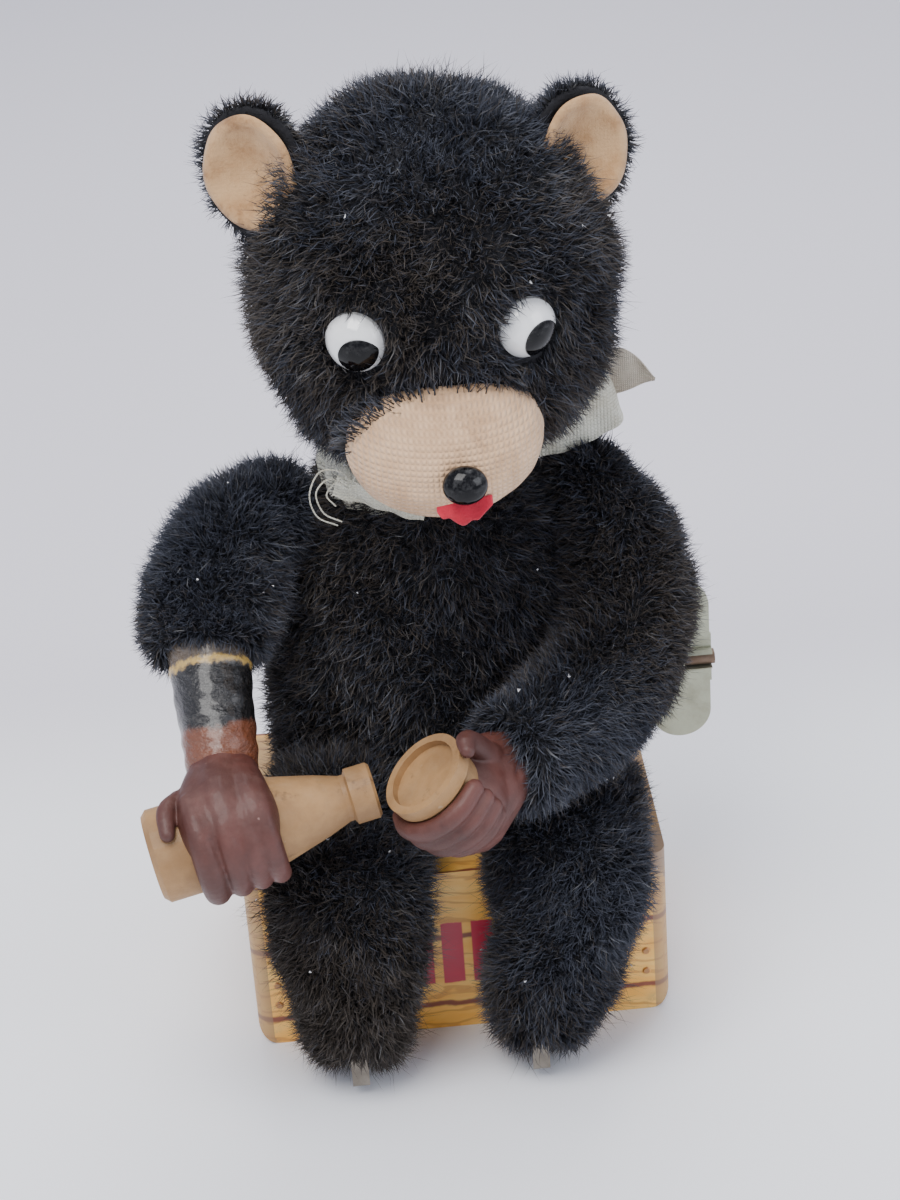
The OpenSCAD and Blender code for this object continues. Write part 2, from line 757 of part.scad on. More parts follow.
module right_hand_form(grow) {
  limb(concat(
    [concat(right_wrist, [wrist_r, wrist_r])],
    moved([[0.4, 5, 5, 8, 7.6], [0, -0.6, 0, 9.6, 9.8], [-0.6, -4.6, -5.4, 8.6, 8.4],
           [-1, -7.4, -9.4, 5, 5]], right_grip)
  ), grow);
}

module right_hand() {
  color("sienna") difference() {
    right_hand_form(0);
    bottle_shape(seat);
  }
}

// ---- Left arm ----

module left_shoulder_shaft() {
  color("silver") {
    rod_x(cup_cam_x, left_shoulder[0] + 2, shoulder, shaft_d);
    crank(cup_cam_x + 0.2);
  }
}

left_arm_points = [for (k = [0:3]) place(left_sleeve_path[k]) + left_shoulder];
module left_arm_stay() {
  color("silver") difference() {
    arm_strip(left_arm_points);
    rod_x(0, shoulder_x + 3, shoulder, shaft_d + 2 * seat);
  }
}

module left_sleeve() {
  sleeve(moved(left_sleeve_path, left_shoulder)) {
    shoulder_passage();
    body_passed(cup_lift);
    arm_strip(left_arm_points, 0.15);
    left_hand_form(seat);
  }
}

module cup_shape(grow, filled) {
  r = cup_d / 2 + grow;
  translate(cup_rim) aim(cup_way) translate([0, 0, -cup_h]) difference() {
    rotate_extrude() polygon([
      [0, -grow], [r * 0.74, -grow], [r * 0.8, 1], [r * 0.92, cup_h * 0.75], [r, cup_h * 0.8],
      [r, cup_h], [0, cup_h]
    ]);
    if (!filled) translate([0, 0, cup_h - 1.4]) cylinder(r = r - 1.5, h = 2);
  }
}
module milk_cup() { color("tan") cup_shape(0, false); }

module left_hand_form(grow) {
  limb(concat(
    [concat(left_wrist, [wrist_r - 0.5, wrist_r - 0.5])],
    moved([[6, 6, 0.5, 7.6, 7.6], [0.5, 0, 0, 10, 9.6], [-3.4, -2.6, 0.6, 9, 8.6],
           [-6.4, -4, 1.4, 6, 6]], left_grip)
  ), grow);
}

module left_hand() {
  color("sienna") difference() {
    left_hand_form(0);
    cup_shape(seat, true);
    translate(cup_rim - cup_way * 3.2) aim(cup_way) cylinder(r = 40, h = 30);
  }
}

// ---- Head ----

pin_d = 2;
head_wall = 0.8;
module head_shape(grow) {
  egg(head_c, [head_w / 2 + grow, head_d / 2 + grow, head_h / 2 + grow], [0.62, 0.8]);
}

// Room for the neck and the collar, wide enough for the whole nod
module neck_room(extra) {
  translate([body_shift, neck_pivot[0], torso_z - 20])
    cylinder(r1 = collar_r + 12 + extra, r2 = collar_r - 2 + extra, h = 35);
}

module head_pivot_pin() {
  color("silver") rod_x(-8, 8, neck_pivot, pin_d);
}

// A strap over the pin, with two ears that rise to the crown of the head form
module head_bracket() {
  top = head_z + head_h / 2 - head_wall - 5;
  color("lightsteelblue") difference() {
    union() {
      for (s = [-1, 1]) translate([s * 6.2 - 0.5, neck_pivot[0] - 3, neck_pivot[1] - 3])
        cube([1, 6, top - neck_pivot[1] + 3]);
      translate([-6.7, neck_pivot[0] - 3, top - 0.5]) cube([13.4, 6, 1]);
    }
    rod_x(-9, 9, neck_pivot, pin_d + 2 * seat);
  }
}

module head_form(front) {
  color("silver") difference() {
    head_shape(0);
    head_shape(-head_wall);
    translate([-60, head_y + (front ? 0 : -120), 0]) cube([120, 120, 300]);
    neck_room(0);
  }
}
module head_form_front() { head_form(true); }
module head_form_back() { translate([0, seat, 0]) head_form(false); }

module muzzle_shape(grow) {
  translate(muzzle_c) rotate(muzzle_tilt)
    egg([0, 0, 0], muzzle_size + grow * [1, 1, 1], slices = 8);
}

module eye_at(side) {
  x = head_shift + side * eye_gap / 2;
  lean = asin((x - head_shift) / (head_w / 2 + plush_t));
  y = head_y - (head_d / 2 + plush_t) * cos(lean) * sqrt(1 - pow((eye_z - head_z) / (head_h / 2), 2));
  translate([x, y, eye_z]) rotate([90, 0, lean * 0.8]) children();
}

eye_t = 3.2;
module eye_dome(grow) {
  r = eye_d / 2 + grow;
  translate([0, 0, -1.4 - grow]) cylinder(r = r, h = 1.4 + grow);
  intersection() {
    translate([0, 0, -(r * r - eye_t * eye_t) / (2 * eye_t)])
      sphere(r = (r * r + eye_t * eye_t) / (2 * eye_t));
    cylinder(r = r, h = eye_t + 1);
  }
}

pupil_off = [1.5, -1.7];
pupil_d = eye_d * 0.66;
module pupil_block(grow) {
  translate([pupil_off[0], pupil_off[1], 1]) cylinder(d = pupil_d + 2 * grow, h = 2.5);
}

module eye(side) {
  color("white") eye_at(side) difference() {
    eye_dome(0);
    pupil_block(seat);
  }
}
module pupil(side) {
  color("black") eye_at(side) intersection() {
    translate([0, 0, 0.3]) eye_dome(-0.1);
    pupil_block(0);
  }
}
module right_eye() { eye(-1); }
module left_eye() { eye(1); }
module right_pupil() { pupil(-1); }
module left_pupil() { pupil(1); }

nose_way = [0.02, -0.93, 0.24];
nose_sink = 0.8;
nose_c = muzzle_c + [2.2, -muzzle_size[1] + 0.1, -1.4];
module nose_at() { translate(nose_c) aim(nose_way) children(); }
module nose_button() {
  color("black") nose_at() difference() {
    sphere(d = nose_w);
    translate([-nose_w, -nose_w, -nose_w - nose_sink]) cube([2 * nose_w, 2 * nose_w, nose_w]);
  }
}

module muzzle() {
  color("peachpuff") difference() {
    muzzle_shape(0);
    head_shape(plush_t + 0.05);
    nose_at() translate([0, 0, -nose_sink - seat]) cylinder(d = nose_w + 0.4, h = 12);
    mouth_block(0.05);
  }
}

module mouth_block(grow) {
  translate(nose_c + [0.4, 3.6, -5]) rotate([52, 0, 0])
    cube([8 + 2 * grow, 5 + 2 * grow, 1 + 2 * grow], center = true);
}
module mouth_felt() { color("crimson") mouth_block(0); }

// Places of the ears' middles from the head's, as shares of the head's width and height
ear_spots = [[-0.518, 0.358], [0.479, 0.333]];
ear_t = 3;
module ear_at(side) {
  spot = side < 0 ? ear_spots[0] : ear_spots[1];
  translate(head_c + [spot[0] * head_w, -1.5, spot[1] * head_h])
    rotate([82, 0, side * 22]) rotate([0, 0, side * -14]) children();
}
module ear_dish(r, t) {
  hull() {
    scale([r[0], r[1], 1]) cylinder(r = 1, h = t * 0.4, center = true, $fn = ring_n);
    translate([0, 0, -t]) scale([r[0] * 0.8, r[1] * 0.8, 1])
      cylinder(r = 1, h = thin, center = true, $fn = ring_n);
  }
}
module ear(side) {
  color("black") difference() {
    ear_at(side) difference() {
      ear_dish(ear_r, ear_t);
      translate([0, 0, 1]) ear_dish(ear_r - [1.8, 1.8], ear_t - 0.4);
    }
    head_shape(plush_t + 0.05);
  }
}
module ear_lining(side) {
  color("wheat") difference() {
    ear_at(side) translate([0, 0, 0.95]) intersection() {
      ear_dish(ear_r - [1.9, 1.9], ear_t - 0.5);
      translate([-20, -20, -10 + 0.05]) cube([40, 40, 9.2]);
    }
    head_shape(plush_t + 0.05);
  }
}
module right_ear() { ear(-1); }
module left_ear() { ear(1); }
module right_ear_lining() { ear_lining(-1); }
module left_ear_lining() { ear_lining(1); }

module head_plush() {
  color("black") difference() {
    head_shape(plush_t);
    head_shape(0.15);
    neck_room(0.5);
    for (side = [-1, 1]) eye_at(side) translate([0, 0, -1.5]) cylinder(d = eye_d + 0.2, h = 12);
  }
}

crate_shell();
crate_base_plate();
frame_plate(-1);  // frame_plate_right
frame_plate(1);  // frame_plate_left
frame_pillars();
frame_screws();
mainspring();
body_shell_front();
body_shell_back();
torso_plush();
right_leg_plush();
left_leg_plush();
right_leg_stay();
left_leg_stay();
neck_post();
collar_ribbon();
collar_bow();
winding_key();
winding_arbor();
ratchet_wheel();
great_wheel();
click();
cam_arbor();
second_wheel();
bottle_cam();
cup_cam();
third_arbor();
third_wheel();
escape_arbor();
escape_wheel();
verge();
right_shoulder_shaft();
right_arm_stay();
right_sleeve();
right_forearm();
forearm_tape();
right_hand();
milk_bottle();
left_shoulder_shaft();
left_arm_stay();
left_sleeve();
left_hand();
milk_cup();
head_pivot_pin();
head_bracket();
head_form_front();
head_form_back();
head_plush();
muzzle();
nose_button();
mouth_felt();
right_eye();
left_eye();
right_pupil();
left_pupil();
right_ear();
left_ear();
right_ear_lining();
left_ear_lining();
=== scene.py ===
"""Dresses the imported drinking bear: pile, cloth, vinyl, printed tin and clockwork metal.

Every piece is in metres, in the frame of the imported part, and rides on one of its bodies.
"""

from __future__ import annotations

import logging
import math
from dataclasses import dataclass, field, replace
from enum import Enum

import bmesh
import bpy
import numpy as np
from mathutils import Matrix, Vector
from mathutils.bvhtree import BVHTree

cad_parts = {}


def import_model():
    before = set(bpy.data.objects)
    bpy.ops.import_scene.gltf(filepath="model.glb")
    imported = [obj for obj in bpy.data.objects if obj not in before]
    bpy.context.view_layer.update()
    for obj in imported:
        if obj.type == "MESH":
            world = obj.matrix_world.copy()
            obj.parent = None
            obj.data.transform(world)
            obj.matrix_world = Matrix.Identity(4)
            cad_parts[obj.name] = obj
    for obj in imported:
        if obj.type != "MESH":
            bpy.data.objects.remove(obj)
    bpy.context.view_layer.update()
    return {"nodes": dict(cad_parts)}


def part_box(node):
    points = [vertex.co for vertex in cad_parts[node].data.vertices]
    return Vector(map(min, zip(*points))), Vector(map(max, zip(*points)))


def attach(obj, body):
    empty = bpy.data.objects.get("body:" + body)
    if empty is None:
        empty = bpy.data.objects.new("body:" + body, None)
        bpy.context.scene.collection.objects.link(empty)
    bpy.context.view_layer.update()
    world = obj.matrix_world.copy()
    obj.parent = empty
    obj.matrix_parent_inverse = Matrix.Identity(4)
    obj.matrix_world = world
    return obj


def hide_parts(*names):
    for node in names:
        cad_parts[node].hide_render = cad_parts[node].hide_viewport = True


log = logging.getLogger("drinking_bear")

MM = 0.001
Socket = bpy.types.NodeSocket
Object = bpy.types.Object
Colour = tuple[float, float, float]


class Body(Enum):
    """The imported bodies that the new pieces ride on."""

    BASE = "base"
    HEAD = "head"
    BOTTLE_ARM = "bottle_arm"
    CUP_ARM = "cup_arm"
    WINDING = "winding"


# ---- Shader graphs -------------------------------------------------------------------------


class Graph:
    """A node tree with short calls for the nodes that the finishes use."""

    def __init__(self, tree: bpy.types.NodeTree) -> None:
        """Wraps a tree.

        Args:
            tree: the node tree to add to.
        """
        self.tree = tree

    def node(self, kind: str, **values: object) -> bpy.types.Node:
        """Adds a node and sets its properties.

        Args:
            kind: the node's type, without the ShaderNode prefix.
            values: property names and values.

        Returns:
            The new node.
        """
        made = self.tree.nodes.new(("" if kind.startswith("NodeGroup") else "ShaderNode") + kind)
        for name, value in values.items():
            setattr(made, name, value)
        return made

    def put(self, socket: Socket, value: object) -> None:
        """Links a socket to a socket, or sets it to a plain value."""
        if isinstance(value, bpy.types.NodeSocket):
            self.tree.links.new(value, socket)
        elif isinstance(value, tuple) and len(value) == 3 and socket.type == "RGBA":
            socket.default_value = (*value, 1.0)
        else:
            socket.default_value = value

    def place(self) -> Socket:
        """Gives the Object coordinates, which are the frame's metres."""
        return self.node("TexCoord").outputs["Object"]

    def parts(self, vector: Socket) -> tuple[Socket, Socket, Socket]:
        """Splits a vector into its three parts."""
        split = self.node("SeparateXYZ")
        self.put(split.inputs[0], vector)
        return split.outputs[0], split.outputs[1], split.outputs[2]

    def vector(self, x: object, y: object, z: object) -> Socket:
        """Joins three values into a vector."""
        join = self.node("CombineXYZ")
        for socket, value in zip(join.inputs, (x, y, z)):
            self.put(socket, value)
        return join.outputs[0]

    def stretch(self, vector: Socket, by: tuple[float, float, float]) -> Socket:
        """Scales a vector by three factors, which stretches a pattern along an axis."""
        scaled = self.node("VectorMath", operation="MULTIPLY")
        self.put(scaled.inputs[0], vector)
        scaled.inputs[1].default_value = by
        return scaled.outputs[0]

    def maths(self, operation: str, a: object, b: object = 0.0, c: object = 0.0) -> Socket:
        """One step of arithmetic.

        Args:
            operation: a Math node's operation.
            a: the first value or socket.
            b: the second.
            c: the third, where the operation has one.

        Returns:
            The result's socket.
        """
        made = self.node("Math", operation=operation)
        for socket, value in zip(made.inputs, (a, b, c)):
            self.put(socket, value)
        return made.outputs[0]

    def noise(self, at: Socket, scale: float, detail: float = 4.0, rough: float = 0.55) -> Socket:
        """A noise pattern's value."""
        made = self.node("TexNoise")
        self.put(made.inputs["Vector"], at)
        made.inputs["Scale"].default_value = scale
        made.inputs["Detail"].default_value = detail
        made.inputs["Roughness"].default_value = rough
        return made.outputs["Fac"]

    def band(self, value: object, low: float, high: float, soft: float) -> Socket:
        """A mask that is 1 between two values, with soft edges."""
        up = self.ramp(value, low - soft, low + soft)
        down = self.ramp(value, high - soft, high + soft)
        return self.maths("SUBTRACT", up, down)

    def ramp(self, value: object, low: float, high: float) -> Socket:
        """A mask that rises from 0 to 1 between two values."""
        made = self.node("MapRange", interpolation_type="SMOOTHSTEP")
        self.put(made.inputs["Value"], value)
        made.inputs["From Min"].default_value = low
        made.inputs["From Max"].default_value = high
        return made.outputs["Result"]

    def between(self, value: object, low: float, high: float) -> Socket:
        """Spreads a value of 0 to 1 over a range."""
        made = self.node("MapRange")
        self.put(made.inputs["Value"], value)
        made.inputs["To Min"].default_value = low
        made.inputs["To Max"].default_value = high
        return made.outputs["Result"]

    def blend(self, share: object, a: object, b: object) -> Socket:
        """Mixes two colours by a share."""
        made = self.node("Mix", data_type="RGBA")
        self.put(made.inputs["Factor"], share)
        self.put(made.inputs[6], a)
        self.put(made.inputs[7], b)
        return made.outputs[2]

    def bump(self, height: Socket, distance: float, strength: float = 1.0) -> Socket:
        """A normal from a height pattern."""
        made = self.node("Bump")
        self.put(made.inputs["Height"], height)
        made.inputs["Distance"].default_value = distance
        made.inputs["Strength"].default_value = strength
        return made.outputs["Normal"]


def effect(name: str, inputs: dict[str, float], outputs: dict[str, str]) -> tuple[bpy.types.NodeTree, Graph]:
    """Starts a shader node group.

    Args:
        name: the group's name.
        inputs: names and default values of its number inputs.
        outputs: names and socket types of its outputs.

    Returns:
        The group and a graph over it.
    """
    tree = bpy.data.node_groups.new(name, "ShaderNodeTree")
    for label, default in inputs.items():
        tree.interface.new_socket(label, in_out="INPUT", socket_type="NodeSocketFloat").default_value = default
    for label, kind in outputs.items():
        tree.interface.new_socket(label, in_out="OUTPUT", socket_type=kind)
    return tree, Graph(tree)


class Effects:
    """The shader groups that several finishes share, each built once."""

    def __init__(self) -> None:
        """Builds the groups."""
        self.dust = self._dust()
        self.wear = self._wear()
        self.weave = self._weave()
        self.wood = self._wood()

    @staticmethod
    def _dust() -> bpy.types.NodeTree:
        """A mask of dust that lies on upward faces, in patches and specks."""
        tree, g = effect("dust", {"Amount": 0.5, "Scale": 180.0}, {"Mask": "NodeSocketFloat"})
        given = g.node("NodeGroupInput")
        up = g.parts(g.node("NewGeometry").outputs["Normal"])[2]
        patches = g.node("TexNoise")
        g.put(patches.inputs["Vector"], g.place())
        g.put(patches.inputs["Scale"], given.outputs["Scale"])
        patches.inputs["Detail"].default_value = 8.0
        patches.inputs["Roughness"].default_value = 0.7
        lying = g.maths("MULTIPLY", g.ramp(up, -0.6, 1.0), g.ramp(patches.outputs["Fac"], 0.42, 0.72))
        out = g.node("NodeGroupOutput")
        g.put(out.inputs["Mask"], g.maths("MULTIPLY", lying, given.outputs["Amount"]))
        return tree

    @staticmethod
    def _wear() -> bpy.types.NodeTree:
        """A mask of rubbed edges and small chips."""
        tree, g = effect("edge_wear", {"Edge": 0.35, "Chips": 0.4}, {"Mask": "NodeSocketFloat"})
        given = g.node("NodeGroupInput")
        pointed = g.node("NewGeometry").outputs["Pointiness"]
        edge = g.maths("MULTIPLY", g.ramp(pointed, 0.51, 0.58), given.outputs["Edge"])
        chips = g.ramp(g.noise(g.place(), 420.0, 8.0, 0.7), 0.66, 0.70)
        chipped = g.maths("MULTIPLY", chips, given.outputs["Chips"])
        out = g.node("NodeGroupOutput")
        g.put(out.inputs["Mask"], g.maths("MAXIMUM", edge, chipped))
        return tree

    @staticmethod
    def _weave() -> bpy.types.NodeTree:
        """Threads that cross over and under each other, from three coordinates."""
        tree = bpy.data.node_groups.new("weave", "ShaderNodeTree")
        tree.interface.new_socket("Vector", in_out="INPUT", socket_type="NodeSocketVector")
        tree.interface.new_socket("Threads", in_out="INPUT", socket_type="NodeSocketFloat")
        tree.interface.new_socket("Height", in_out="OUTPUT", socket_type="NodeSocketFloat")
        g = Graph(tree)
        given = g.node("NodeGroupInput")
        x, y, _ = g.parts(given.outputs["Vector"])
        count = given.outputs["Threads"]
        waves = [g.maths("SINE", g.maths("MULTIPLY", v, g.maths("MULTIPLY", count, math.pi))) for v in (x, y)]
        over = g.maths("MULTIPLY", waves[0], waves[1])
        out = g.node("NodeGroupOutput")
        g.put(out.inputs["Height"], g.maths("ABSOLUTE", over))
        return tree

    @staticmethod
    def _wood() -> bpy.types.NodeTree:
        """Printed wood grain: long streaks with darker knots, from stretched coordinates."""
        tree = bpy.data.node_groups.new("printed_wood", "ShaderNodeTree")
        tree.interface.new_socket("Vector", in_out="INPUT", socket_type="NodeSocketVector")
        tree.interface.new_socket("Streaks", in_out="OUTPUT", socket_type="NodeSocketFloat")
        tree.interface.new_socket("Lines", in_out="OUTPUT", socket_type="NodeSocketFloat")
        g = Graph(tree)
        at = g.node("NodeGroupInput").outputs["Vector"]
        streaks = g.noise(g.stretch(at, (0.25, 1.0, 1.0)), 260.0, 6.0, 0.6)
        waves = g.node("TexWave", wave_type="BANDS", bands_direction="Y")
        g.put(waves.inputs["Vector"], g.stretch(at, (0.3, 1.0, 1.0)))
        waves.inputs["Scale"].default_value = 95.0
        waves.inputs["Distortion"].default_value = 9.0
        waves.inputs["Detail"].default_value = 3.0
        waves.inputs["Detail Scale"].default_value = 1.6
        lines = g.ramp(waves.outputs["Fac"], 0.86, 0.98)
        out = g.node("NodeGroupOutput")
        g.put(out.inputs["Streaks"], streaks)
        g.put(out.inputs["Lines"], lines)
        return tree


@dataclass(frozen=True)
class Finish:
    """A surface finish; each kind adds its own pattern to the same shader."""

    name: str

    def make(self, effects: Effects) -> bpy.types.Material:
        """Builds the material.

        Args:
            effects: the shared shader groups.

        Returns:
            The finished material.
        """
        material = bpy.data.materials.new(self.name)
        material.use_nodes = True
        graph = Graph(material.node_tree)
        shader = material.node_tree.nodes["Principled BSDF"]
        self.paint(graph, shader, effects)
        return material

    def paint(self, g: Graph, shader: bpy.types.Node, effects: Effects) -> None:
        """Sets the shader's sockets; each finish does this its own way."""
        raise NotImplementedError

    @staticmethod
    def group(g: Graph, tree: bpy.types.NodeTree, **values: object) -> bpy.types.Node:
        """Places a shared group in this material with its own values."""
        made = g.node("Group", node_tree=tree)
        for label, value in values.items():
            g.put(made.inputs[label], value)
        return made


@dataclass(frozen=True)
class Metal(Finish):
    """Bare or plated sheet metal with brushed streaks, tarnish and rubbed edges."""

    colour: Colour = (0.5, 0.5, 0.48)
    tarnish: Colour = (0.2, 0.14, 0.08)
    rough: float = 0.35
    tarnished: float = 0.4
    metallic: float = 1.0

    def paint(self, g: Graph, shader: bpy.types.Node, effects: Effects) -> None:
        """Brushed metal with tarnish in blotches."""
        at = g.place()
        fine = g.noise(g.stretch(at, (1.0, 6.0, 1.0)), 700.0, 5.0)
        blotch = g.noise(at, 130.0, 7.0, 0.68)
        wear = self.group(g, effects.wear, Edge=0.6, Chips=0.25).outputs["Mask"]
        dulled = g.maths("MULTIPLY", g.ramp(blotch, 0.46, 0.66), self.tarnished)
        base = g.blend(dulled, g.blend(fine, self.colour, tuple(0.75 * c for c in self.colour)), self.tarnish)
        g.put(shader.inputs["Base Color"], g.blend(wear, base, tuple(min(1.2 * c, 1) for c in self.colour)))
        shader.inputs["Metallic"].default_value = self.metallic
        rough = g.between(g.maths("ADD", g.maths("MULTIPLY", fine, 0.4), dulled), self.rough, self.rough + 0.3)
        g.put(shader.inputs["Roughness"], rough)
        g.put(shader.inputs["Normal"], g.bump(g.maths("ADD", fine, blotch), 0.00008))


@dataclass(frozen=True)
class PileFinish(Finish):
    """Black pile: roots darkened as painted shade, bluish and brownish tips, and a few pale fibres."""

    # root: the colour of the painted shade deep in the pile, where each strand starts
    root: Colour = (0.006, 0.0062, 0.0076)
    cool: Colour = (0.066, 0.074, 0.100)
    warm: Colour = (0.075, 0.060, 0.048)
    pale: Colour = (0.22, 0.22, 0.22)

    def paint(self, g: Graph, shader: bpy.types.Node, effects: Effects) -> None:
        """Colour by each strand's own number, and painted shade by the height along it."""
        tint = g.node("Attribute", attribute_name="strand").outputs["Vector"]
        own, along, patch = g.parts(tint)
        tips = g.blend(g.ramp(g.maths("ADD", own, patch), 0.75, 1.25), self.cool, self.warm)
        tips = g.blend(g.ramp(own, 0.972, 0.985), tips, self.pale)
        # painted shade: each strand darkens from its tip down to the root colour
        g.put(shader.inputs["Base Color"], g.blend(g.ramp(along, 0.1, 0.95), self.root, tips))
        g.put(shader.inputs["Roughness"], g.between(own, 0.42, 0.62))
        shader.inputs["Specular IOR Level"].default_value = 0.45


@dataclass(frozen=True)
class BackingFinish(Finish):
    """The dark cloth that the pile stands on."""

    colour: Colour = (0.006, 0.006, 0.008)

    def paint(self, g: Graph, shader: bpy.types.Node, effects: Effects) -> None:
        """Near black with a lint-like mottle."""
        at = g.place()
        mottle = g.noise(at, 900.0, 6.0, 0.7)
        g.put(shader.inputs["Base Color"], g.blend(mottle, self.colour, tuple(2.4 * c for c in self.colour)))
        shader.inputs["Roughness"].default_value = 0.9
        g.put(shader.inputs["Normal"], g.bump(mottle, 0.0006))


@dataclass(frozen=True)
class Vinyl(Finish):
    """Soft moulded vinyl with faded patches, stains and settled dust."""

    colour: Colour = (0.5, 0.4, 0.3)
    faded: Colour = (0.6, 0.5, 0.4)
    stain: Colour = (0.2, 0.12, 0.06)
    dust: Colour = (0.62, 0.58, 0.54)
    rough: float = 0.5
    stained: float = 0.5
    dusty: float = 0.35

    def paint(self, g: Graph, shader: bpy.types.Node, effects: Effects) -> None:
        """Blotched colour under dust, with a fine pebbled surface."""
        at = g.place()
        broad = g.noise(at, 95.0, 5.0, 0.6)
        specks = g.noise(at, 620.0, 9.0, 0.75)
        base = g.blend(g.ramp(broad, 0.35, 0.68), self.colour, self.faded)
        spots = g.ramp(g.noise(at, 210.0, 10.0, 0.72), 0.56, 0.72)
        base = g.blend(g.maths("MULTIPLY", spots, self.stained), base, self.stain)
        dust = self.group(g, effects.dust, Amount=self.dusty, Scale=240.0).outputs["Mask"]
        base = g.blend(dust, base, self.dust)
        lint = g.ramp(g.noise(at, 520.0, 2.0, 0.4), 0.765, 0.79)
        g.put(shader.inputs["Base Color"], g.blend(g.maths("MULTIPLY", lint, 0.7), base, self.dust))
        worn = g.maths("ADD", dust, specks)
        g.put(shader.inputs["Roughness"], g.between(worn, self.rough, self.rough + 0.25))
        g.put(shader.inputs["Normal"], g.bump(g.maths("ADD", specks, broad), 0.00016))
        shader.inputs["Coat Weight"].default_value = 0.08


@dataclass(frozen=True)
class Cloth(Finish):
    """Woven cloth or felt, soiled in places."""

    colour: Colour = (0.8, 0.65, 0.5)
    # shade: a darker tone of the cloth for its mottle, and also the colour of the painted shade in the weave's hollows
    shade: Colour = (0.6, 0.45, 0.33)
    soil: Colour = (0.25, 0.2, 0.15)
    threads: float = 1800.0
    soiled: float = 0.4
    # woven: how strongly the weave shows, both as painted shade in its hollows and as bump
    woven: float = 1.0
    spot: tuple[float, float, float, float] = (0.0, 0.0, -1.0, 0.001)
    spot_colour: Colour = (0.12, 0.02, 0.01)
    axes: tuple[int, int] = (0, 2)

    def paint(self, g: Graph, shader: bpy.types.Node, effects: Effects) -> None:
        """Threads over a mottled ground, with painted shade in the hollows between the threads."""
        at = g.place()
        axes = g.parts(at)
        flat = g.vector(axes[self.axes[0]], axes[self.axes[1]], 0.0)
        weave = self.group(g, effects.weave, Vector=flat, Threads=self.threads).outputs["Height"]
        mottle = g.noise(at, 150.0, 7.0, 0.65)
        fuzz = g.noise(at, 1900.0, 6.0, 0.7)
        base = g.blend(g.ramp(mottle, 0.35, 0.7), self.colour, self.shade)
        # painted shade: the low places between the threads are darkened towards the shade colour
        woven = g.maths("MULTIPLY", g.maths("SUBTRACT", 1.0, weave), 0.32 * self.woven)
        base = g.blend(woven, base, self.shade)
        dirt = g.ramp(g.noise(at, 75.0, 8.0, 0.7), 0.5, 0.74)
        base = g.blend(g.maths("MULTIPLY", dirt, self.soiled), base, self.soil)
        base = g.blend(g.maths("MULTIPLY", g.ramp(fuzz, 0.6, 0.75), 0.2), base, self.soil)
        x, y, z, r = self.spot
        away = g.node("VectorMath", operation="DISTANCE")
        g.put(away.inputs[0], at)
        away.inputs[1].default_value = (x, y, z)
        ragged = g.maths("MULTIPLY", g.maths("SUBTRACT", mottle, 0.5), 0.002)
        edge = g.maths("ADD", away.outputs["Value"], ragged)
        near = g.maths("SUBTRACT", 1.0, g.ramp(edge, r * 0.7, r))
        g.put(shader.inputs["Base Color"], g.blend(near, base, self.spot_colour))
        g.put(shader.inputs["Roughness"], g.between(fuzz, 0.82, 0.98))
        height = g.maths("ADD", g.maths("MULTIPLY", weave, self.woven), fuzz)
        g.put(shader.inputs["Normal"], g.bump(height, 0.00022))
        shader.inputs["Sheen Weight"].default_value = 0.25
        shader.inputs["Sheen Roughness"].default_value = 0.5


@dataclass(frozen=True)
class Gloss(Finish):
    """Polished moulded plastic with faint scratches and dust."""

    colour: Colour = (0.9, 0.9, 0.88)
    other: Colour = (0.8, 0.8, 0.78)
    rough: float = 0.08
    shine: float = 0.5
    coat: float = 0.6

    def paint(self, g: Graph, shader: bpy.types.Node, effects: Effects) -> None:
        """Even colour, hairline scratches and a trace of dust."""
        at = g.place()
        cloud = g.noise(at, 160.0, 5.0)
        scratch = g.ramp(g.noise(g.stretch(at, (7.0, 1.0, 1.0)), 700.0, 3.0), 0.68, 0.72)
        dust = self.group(g, effects.dust, Amount=0.12, Scale=900.0).outputs["Mask"]
        base = g.blend(g.ramp(cloud, 0.4, 0.7), self.colour, self.other)
        g.put(shader.inputs["Base Color"], g.blend(dust, base, (0.5, 0.5, 0.5)))
        marks = g.maths("MAXIMUM", scratch, dust)
        g.put(shader.inputs["Roughness"], g.between(marks, self.rough, self.rough + 0.3))
        shader.inputs["Specular IOR Level"].default_value = self.shine
        shader.inputs["Coat Weight"].default_value = self.coat
        shader.inputs["Coat Roughness"].default_value = 0.05


